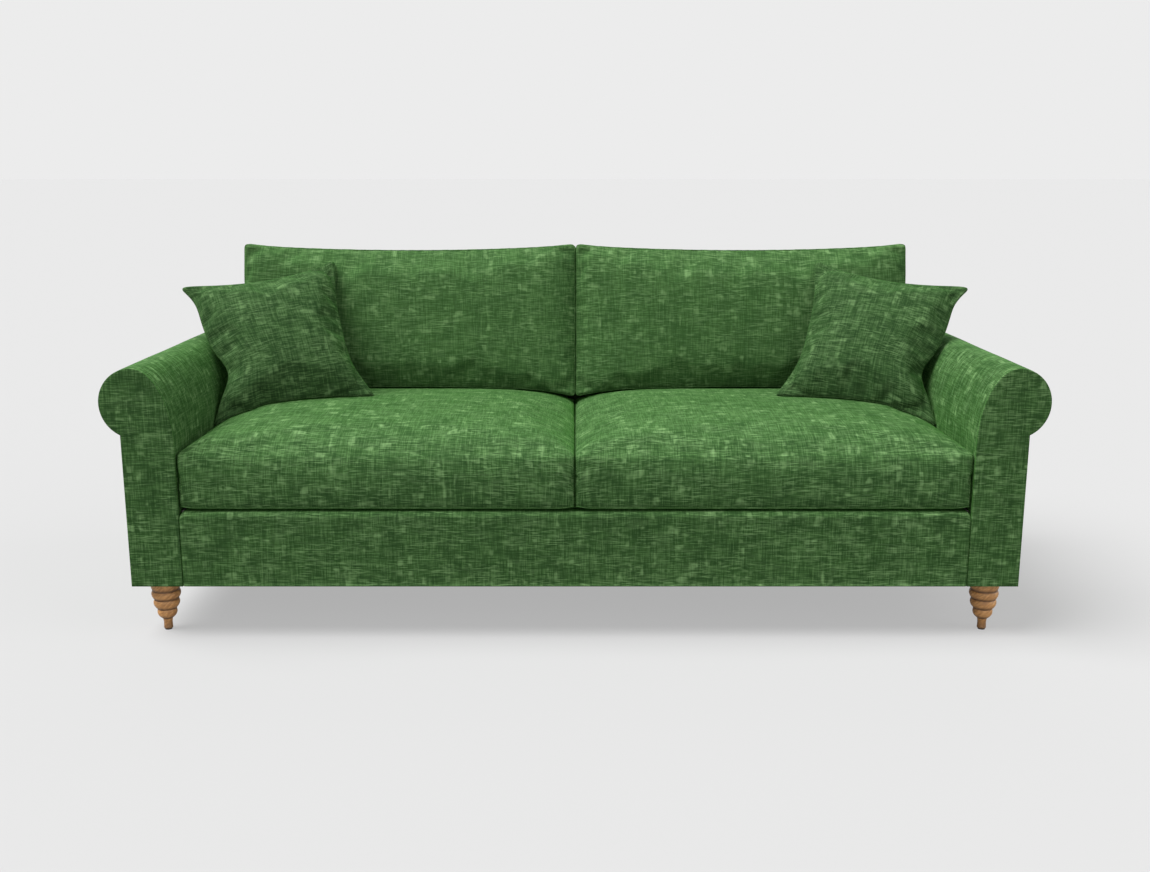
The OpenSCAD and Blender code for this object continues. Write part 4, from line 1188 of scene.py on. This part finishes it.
# %% Plain materials
def plain(name, colour, second, scale, roughness, share=0.5, bump=0.0, metal=0.0, stretch=(1, 1, 1)):
    """A procedural finish: noise between two colours, with a little relief."""
    mat, m, skin = material(name)
    place = m.node("ShaderNodeTexCoord").outputs["Object"]
    found = m.stretched(place, tuple(scale * s for s in stretch), 1.0, 4.0, 0.6)
    mask = m.band(found, 0.35, 0.65)
    both = m.mix(m.math("MULTIPLY", mask, share), linear(*colour), linear(*second))
    m.tree.links.new(both, skin.inputs["Base Color"])
    m.tree.links.new(m.band(mask, 0, 1, roughness, max(0.1, roughness - 0.12)), skin.inputs["Roughness"])
    skin.inputs["Metallic"].default_value = metal
    if bump:
        relief = m.node("ShaderNodeBump", {"Height": found, "Strength": 0.5, "Distance": bump})
        m.tree.links.new(relief.outputs["Normal"], skin.inputs["Normal"])
    return mat


foam = plain("foam", (231, 217, 160), (205, 188, 130), 900, 0.95, 0.7, 0.0006)
fibre = plain("fibre_filling", (238, 236, 228), (208, 206, 198), 260, 0.95, 0.8, 0.002, stretch=(1, 0.5, 1))
felt = plain("felt", (118, 113, 108), (84, 82, 84), 500, 0.97, 0.8, 0.0008)
lining = plain("lining", (34, 36, 35), (20, 21, 21), 1400, 0.9, 0.7, 0.0002, stretch=(1, 0.3, 1))
webbing = plain("webbing", (160, 137, 98), (112, 92, 60), 420, 0.9, 0.8, 0.0006, stretch=(0.3, 1, 1))
beech = plain("beech", (196, 156, 110), (164, 122, 80), 120, 0.6, 0.7, 0.0002, stretch=(0.12, 1, 1))
hardboard = plain("hardboard", (116, 80, 52), (88, 58, 36), 700, 0.7, 0.6, 0.0002)
steel = plain("steel", (150, 152, 156), (120, 122, 128), 300, 0.38, 0.5, metal=1.0, stretch=(0.1, 1, 1))
glide = plain("glide", (26, 26, 27), (40, 40, 41), 350, 0.55, 0.5)
print("materials so far:", [mat.name for mat in bpy.data.materials])


# %% Fillings and padding
def eased(node, body, mat, radius, trim=None):
    """A copy of a CAD solid with its edges rounded; trim moves its points (mm) first."""
    ob = bpy.data.objects.new(f"{node}_soft", frame["nodes"][node].data.copy())
    scene.collection.objects.link(ob)
    ob.data.materials.clear()
    ob.data.materials.append(mat)
    if trim:
        co = np.empty(len(ob.data.vertices) * 3)
        ob.data.vertices.foreach_get("co", co)
        ob.data.vertices.foreach_set("co", (trim(co.reshape(-1, 3) * 1000) / 1000).ravel())
    weld = ob.modifiers.new("weld", "WELD")
    weld.merge_threshold = 0.0001
    bevel = ob.modifiers.new("ease", "BEVEL")
    bevel.width, bevel.segments = radius / 1000, 3
    bevel.limit_method, bevel.angle_limit = "ANGLE", math.radians(40)
    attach(ob, body)
    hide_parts(node)
    print(f"{ob.name}: from the CAD's {node}, edges eased by {radius} mm")


PADDING_X = INNER_X - 22  # the border's padding ends inside the cover's turned-back ends
for side, word in SIDES:
    eased(
        f"{word}_seat_core", f"{word}_seat", foam, 6,
        lambda p: (rolled(p * [side, 1, 1] - seat_at, 1.15) + seat_at) * [side, 1, 1],
    )
    eased(f"{word}_back_filling", f"{word}_back", fibre, 18)
    eased(f"{word}_scatter_filling", f"{word}_scatter", fibre, 10)
    eased(f"{word}_arm_roll_padding", "frame", foam, 1.5)
    eased(f"{word}_inside_arm_padding", "frame", foam, 1.5)
eased(
    "border_padding", "frame", foam, 1.5,
    lambda p: np.clip(p, [-PADDING_X, FRONT + 5, LEG_H + 5], [PADDING_X, BACK, DECK_Z - 5]),
)
eased("back_padding", "frame", foam, 1.5)
eased("deck_pad", "frame", felt, 2)

# %% [markdown]
# ## Lining sheets
#
# Under the seat cushions, behind the border's lip, the deck is a plain dark lining laid on the
# felt, and a thinner lining closes the base from below. Both are single sheets, tacked along
# their edges.

# %% Deck cloth and dust cover
low, high = (corner * 1000 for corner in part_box("deck_cloth"))
w, l = high.x - low.x, high.y - low.y
deck = flat_panel(
    "deck_cloth_sheet", (low.x, low.y, high.z), (w, 0, 0), (0, l, 0), 1.2,
    lining, ["deck_cloth"], 11, sag=0.6, step=30,
)

low, high = (corner * 1000 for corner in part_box("dust_cover"))
w, l = high.x - low.x, high.y - low.y
dust = flat_panel(
    "dust_cover_sheet", (low.x, high.y, low.z), (w, 0, 0), (0, -l, 0), 0.8,
    lining, ["dust_cover"], 12, sag=0.2, step=30, turn=0.1,
)

# %% [markdown]
# ## Turned oak legs
#
# The legs are turned from one piece: four rings like stacked beads shrink to a neck and a small
# foot. The CAD has the outline in few steps. Turning a fine profile round an axis, as a lathe
# does, gives the rounded beads and the tight grooves between them. The grain slants over the
# beads, and shade is painted into the grooves and up the underside of each bead above them.

# %% Leg profile
# Each ring: the share of the leg's height where it starts, its widest radius, its groove's radius.
RINGS = [(1.00, 37.3, 32.6), (0.79, 36.4, 29.0), (0.615, 32.6, 22.8), (0.425, 24.6, 12.8)]
NECK_TOP, NECK_R, FOOT_R, GLIDE_T = 0.23, 10.6, 11.5, 3.0
WIDEST = 0.36  # how far down each ring its bead is widest


def leg_profile():
    """(radius, height) from the top down to the glide: each ring is a bead over a groove."""
    found = [(0.0, LEG_H), (34.0, LEG_H)]
    tops = [ring[0] for ring in RINGS] + [NECK_TOP]
    for k, (top, wide, groove) in enumerate(RINGS):
        above = RINGS[k - 1][2] if k else 35.5
        for t in np.linspace(0.0, 1.0, 15)[1:]:
            if t < WIDEST:
                r = above + (wide - above) * math.sin(math.pi / 2 * t / WIDEST) ** 0.75
            else:
                r = groove + (wide - groove) * math.cos(math.pi / 2 * (t - WIDEST) / (1 - WIDEST)) ** 0.7
            found.append((r, LEG_H * (top + (tops[k + 1] - top) * t)))
    last_groove = RINGS[-1][2]
    for t in np.linspace(0, 1, 7)[1:]:
        r = NECK_R + (last_groove - NECK_R) * (1 - math.sin(math.pi / 2 * t))
        found.append((r, LEG_H * (NECK_TOP - 0.1 * t)))
    foot = [(FOOT_R - 0.3, LEG_H * 0.05), (FOOT_R, GLIDE_T + 3), (FOOT_R - 0.8, GLIDE_T + 0.6)]
    return np.array(found + foot + [(FOOT_R - 2, GLIDE_T), (0.0, GLIDE_T)])


profile = leg_profile()
print("leg profile points:", len(profile), "widest", profile[:, 0].max(), "mm")

# %% Oak
# Painted shade: the wood darkens in each groove and up the underside of the bead above it.
GROOVE_SHADE_UP, GROOVE_SHADE_DOWN = 0.0105, 0.0030  # metres over and under a groove
oak, m, skin = material("oak")
place = m.node("ShaderNodeTexCoord").outputs["Object"]
tilted = m.node("ShaderNodeMapping", {"Vector": place, "Rotation": (0.35, 0.7, 0.3)}).outputs[0]
rings = m.stretched(tilted, (60, 60, 420), 2.0, 3.0, 0.6)
pores = m.stretched(tilted, (180, 180, 1600), 4.0, 2.0)
wood = m.mix(m.band(rings, 0.36, 0.64), linear(206, 152, 92), linear(160, 112, 64))
wood = m.mix(m.band(pores, 0.54, 0.70, 0.0, 0.40), wood, linear(88, 60, 34))
level = m.node("ShaderNodeSeparateXYZ", {0: place}).outputs["Z"]
painted_groove_shade = None
for share in [ring[0] for ring in RINGS[1:]] + [NECK_TOP]:
    off = m.math("SUBTRACT", level, share * LEG_H / 1000)
    over = m.band(off, 0.0, GROOVE_SHADE_UP, 1.0, 0.0)
    near = m.math("MULTIPLY", over, m.band(off, -GROOVE_SHADE_DOWN, 0.0, 0.0, 1.0))
    painted_groove_shade = near if painted_groove_shade is None else m.math("MAXIMUM", painted_groove_shade, near)
wood = m.mix(m.math("MULTIPLY", painted_groove_shade, 0.80), wood, linear(58, 36, 19))
# The neck and foot are darker towards the bottom.
wood = m.mix(m.band(level, 0.0, NECK_TOP * LEG_H / 800, 0.85, 0.0), wood, linear(92, 62, 30))
m.tree.links.new(wood, skin.inputs["Base Color"])
m.tree.links.new(m.band(rings, 0.3, 0.7, 0.38, 0.5), skin.inputs["Roughness"])
relief = m.node("ShaderNodeBump", {"Height": pores, "Strength": 0.3, "Distance": 0.0004})
m.tree.links.new(relief.outputs["Normal"], skin.inputs["Normal"])
print("nodes in the oak:", len(oak.node_tree.nodes))

# %% Legs
turns = 72  # points round each ring
for node in ("front_left_leg", "front_right_leg", "back_left_leg", "back_right_leg"):
    low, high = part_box(node)
    centre = (low + high) * 500
    angle = np.arange(turns) * 2 * math.pi / turns
    rows = profile[1:-1]
    ring = np.stack([rows[:, :1] * np.cos(angle), rows[:, :1] * np.sin(angle), rows[:, 1:] + angle * 0], -1)
    points = np.concatenate([ring.reshape(-1, 3), [[0, 0, profile[0, 1]], [0, 0, profile[-1, 1]]]])
    ids = np.arange(len(rows) * turns).reshape(len(rows), turns)
    ids = np.concatenate([ids, ids[:, :1]], 1)
    faces = cloth_grid(ids).tolist()
    faces += [[len(points) - 2, ids[0, k], ids[0, k + 1]] for k in range(turns)]
    faces += [[len(points) - 1, ids[-1, k + 1], ids[-1, k]] for k in range(turns)]
    piece(f"{node}_turned", points + [centre.x, centre.y, 0], faces, "frame", oak, [node])

# %% [markdown]
# ## Finishes on the CAD nodes
#
# Rails, boards, springs, bolts and glides keep the CAD's meshes and get their slot's material.

# %% CAD finishes
finishes = {
    "beech": beech, "hardboard": hardboard, "steel": steel, "glide": glide, "oak": oak, "foam": foam,
    "fibre_filling": fibre, "felt": felt, "lining": lining, "webbing": webbing, "frame_velvet": frame_velvet,
    "seat_velvet": seat_velvet, "back_velvet": back_velvet, "scatter_velvet": scatter_velvet,
}
for part in frame["record"]["subparts"]:
    ob = frame["nodes"][part["node"]]
    ob.data.materials.clear()
    ob.data.materials.append(finishes[part["material_slot"]])
print("CAD nodes shown:", sum(not o.hide_render for o in frame["nodes"].values()), "of", len(frame["nodes"]))

# %% [markdown]
# ## Floor, light and camera
#
# The photograph is a plain studio picture: a pale floor that runs into the background, soft
# light from above and a little from the left, and a wide shadow under the sofa. The camera's
# height and lens were found from the outline of the arms, the base and the back.

# %% Floor
FLOOR_GREY = (0.176, 0.176, 0.176, 1)
FLOOR_GLOW, FLOOR_GLOW_SEEN = 0.16, 0.42  # what the sofa gets back from it, and what the camera sees
corners = np.array([(-90, -30, 0), (90, -30, 0), (90, 150, 0), (-90, 150, 0)])
floor = bpy.data.objects.new("floor", plain_mesh("floor", corners, [(0, 1, 2, 3)]))
scene.collection.objects.link(floor)
mat, m, skin = material("floor")
skin.inputs["Base Color"].default_value = FLOOR_GREY
skin.inputs["Roughness"].default_value = 0.9
skin.inputs["Specular IOR Level"].default_value = 0.0
skin.inputs["Emission Color"].default_value = (1, 1, 1, 1)
seen = m.node("ShaderNodeLightPath").outputs["Is Camera Ray"]
m.tree.links.new(m.band(seen, 0.0, 1.0, FLOOR_GLOW, FLOOR_GLOW_SEEN), skin.inputs["Emission Strength"])
floor.data.materials.append(mat)
floor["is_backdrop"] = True
print("floor", [round(v, 1) for v in floor.dimensions], "m")

# %% Background
BACKGROUND, FILL = linear(236, 236, 236), 0.24
world = bpy.data.worlds.new("studio")
scene.world = world
world.use_nodes = True
m = Maker(world.node_tree)
fill = world.node_tree.nodes["Background"]
fill.inputs["Color"].default_value = (1, 1, 1, 1)
fill.inputs["Strength"].default_value = FILL
behind = m.node("ShaderNodeBackground", {"Color": BACKGROUND, "Strength": 1.0})
ray = m.node("ShaderNodeLightPath").outputs
in_glass = m.math("MAXIMUM", ray["Is Glossy Ray"], ray["Is Transmission Ray"])
seen = m.math("MAXIMUM", ray["Is Camera Ray"], in_glass)
both = m.node("ShaderNodeMixShader", {0: seen, 1: fill.outputs[0], 2: behind.outputs[0]})
m.tree.links.new(both.outputs[0], world.node_tree.nodes["World Output"].inputs["Surface"])
print("background", [round(v, 2) for v in BACKGROUND[:3]], "fill light", FILL)


# %% Lights
def wide_light(name, from_where, strength, spread):
    """Light from one direction, as soft as a large panel of that angle."""
    lamp = bpy.data.lights.new(name, "SUN")
    lamp.energy, lamp.angle = strength, math.radians(spread)
    ob = bpy.data.objects.new(name, lamp)
    ob.rotation_euler = Vector(from_where).to_track_quat("Z", "Y").to_euler()
    scene.collection.objects.link(ob)
    ob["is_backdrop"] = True
    print(f"{name} light: strength {strength}, {spread} degrees wide")


wide_light("overhead", (-0.5, -0.10, 0.88), 6.15, 46)
wide_light("front", (0.0, -1.0, 0.25), 0.9, 60)
wide_light("right", (0.85, -0.2, 0.4), 1.3, 60)
wide_light("back", (0.1, 1.0, 0.3), 1.0, 60)

# %% Camera
LENS, SENSOR = 38.94, 36
CAMERA_AT, TILT = (0, -3.44, 1.155), 77.9  # a little over the back's height, looking 12 degrees down
camera_data = bpy.data.cameras.new("camera")
camera_data.lens, camera_data.sensor_width = LENS, SENSOR
camera = bpy.data.objects.new("camera", camera_data)
camera.location = CAMERA_AT
camera.rotation_euler = (math.radians(TILT), 0, 0)
scene.collection.objects.link(camera)
scene.camera = camera
scene.view_settings.view_transform = "Standard"
print("camera", CAMERA_AT, "lens", LENS, "mm")

# %% [markdown]
#
# The box of the finished sofa is printed.

# %% Sizes and finish
low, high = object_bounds()
print("visual box", [round(v, 4) for v in low], [round(v, 4) for v in high])
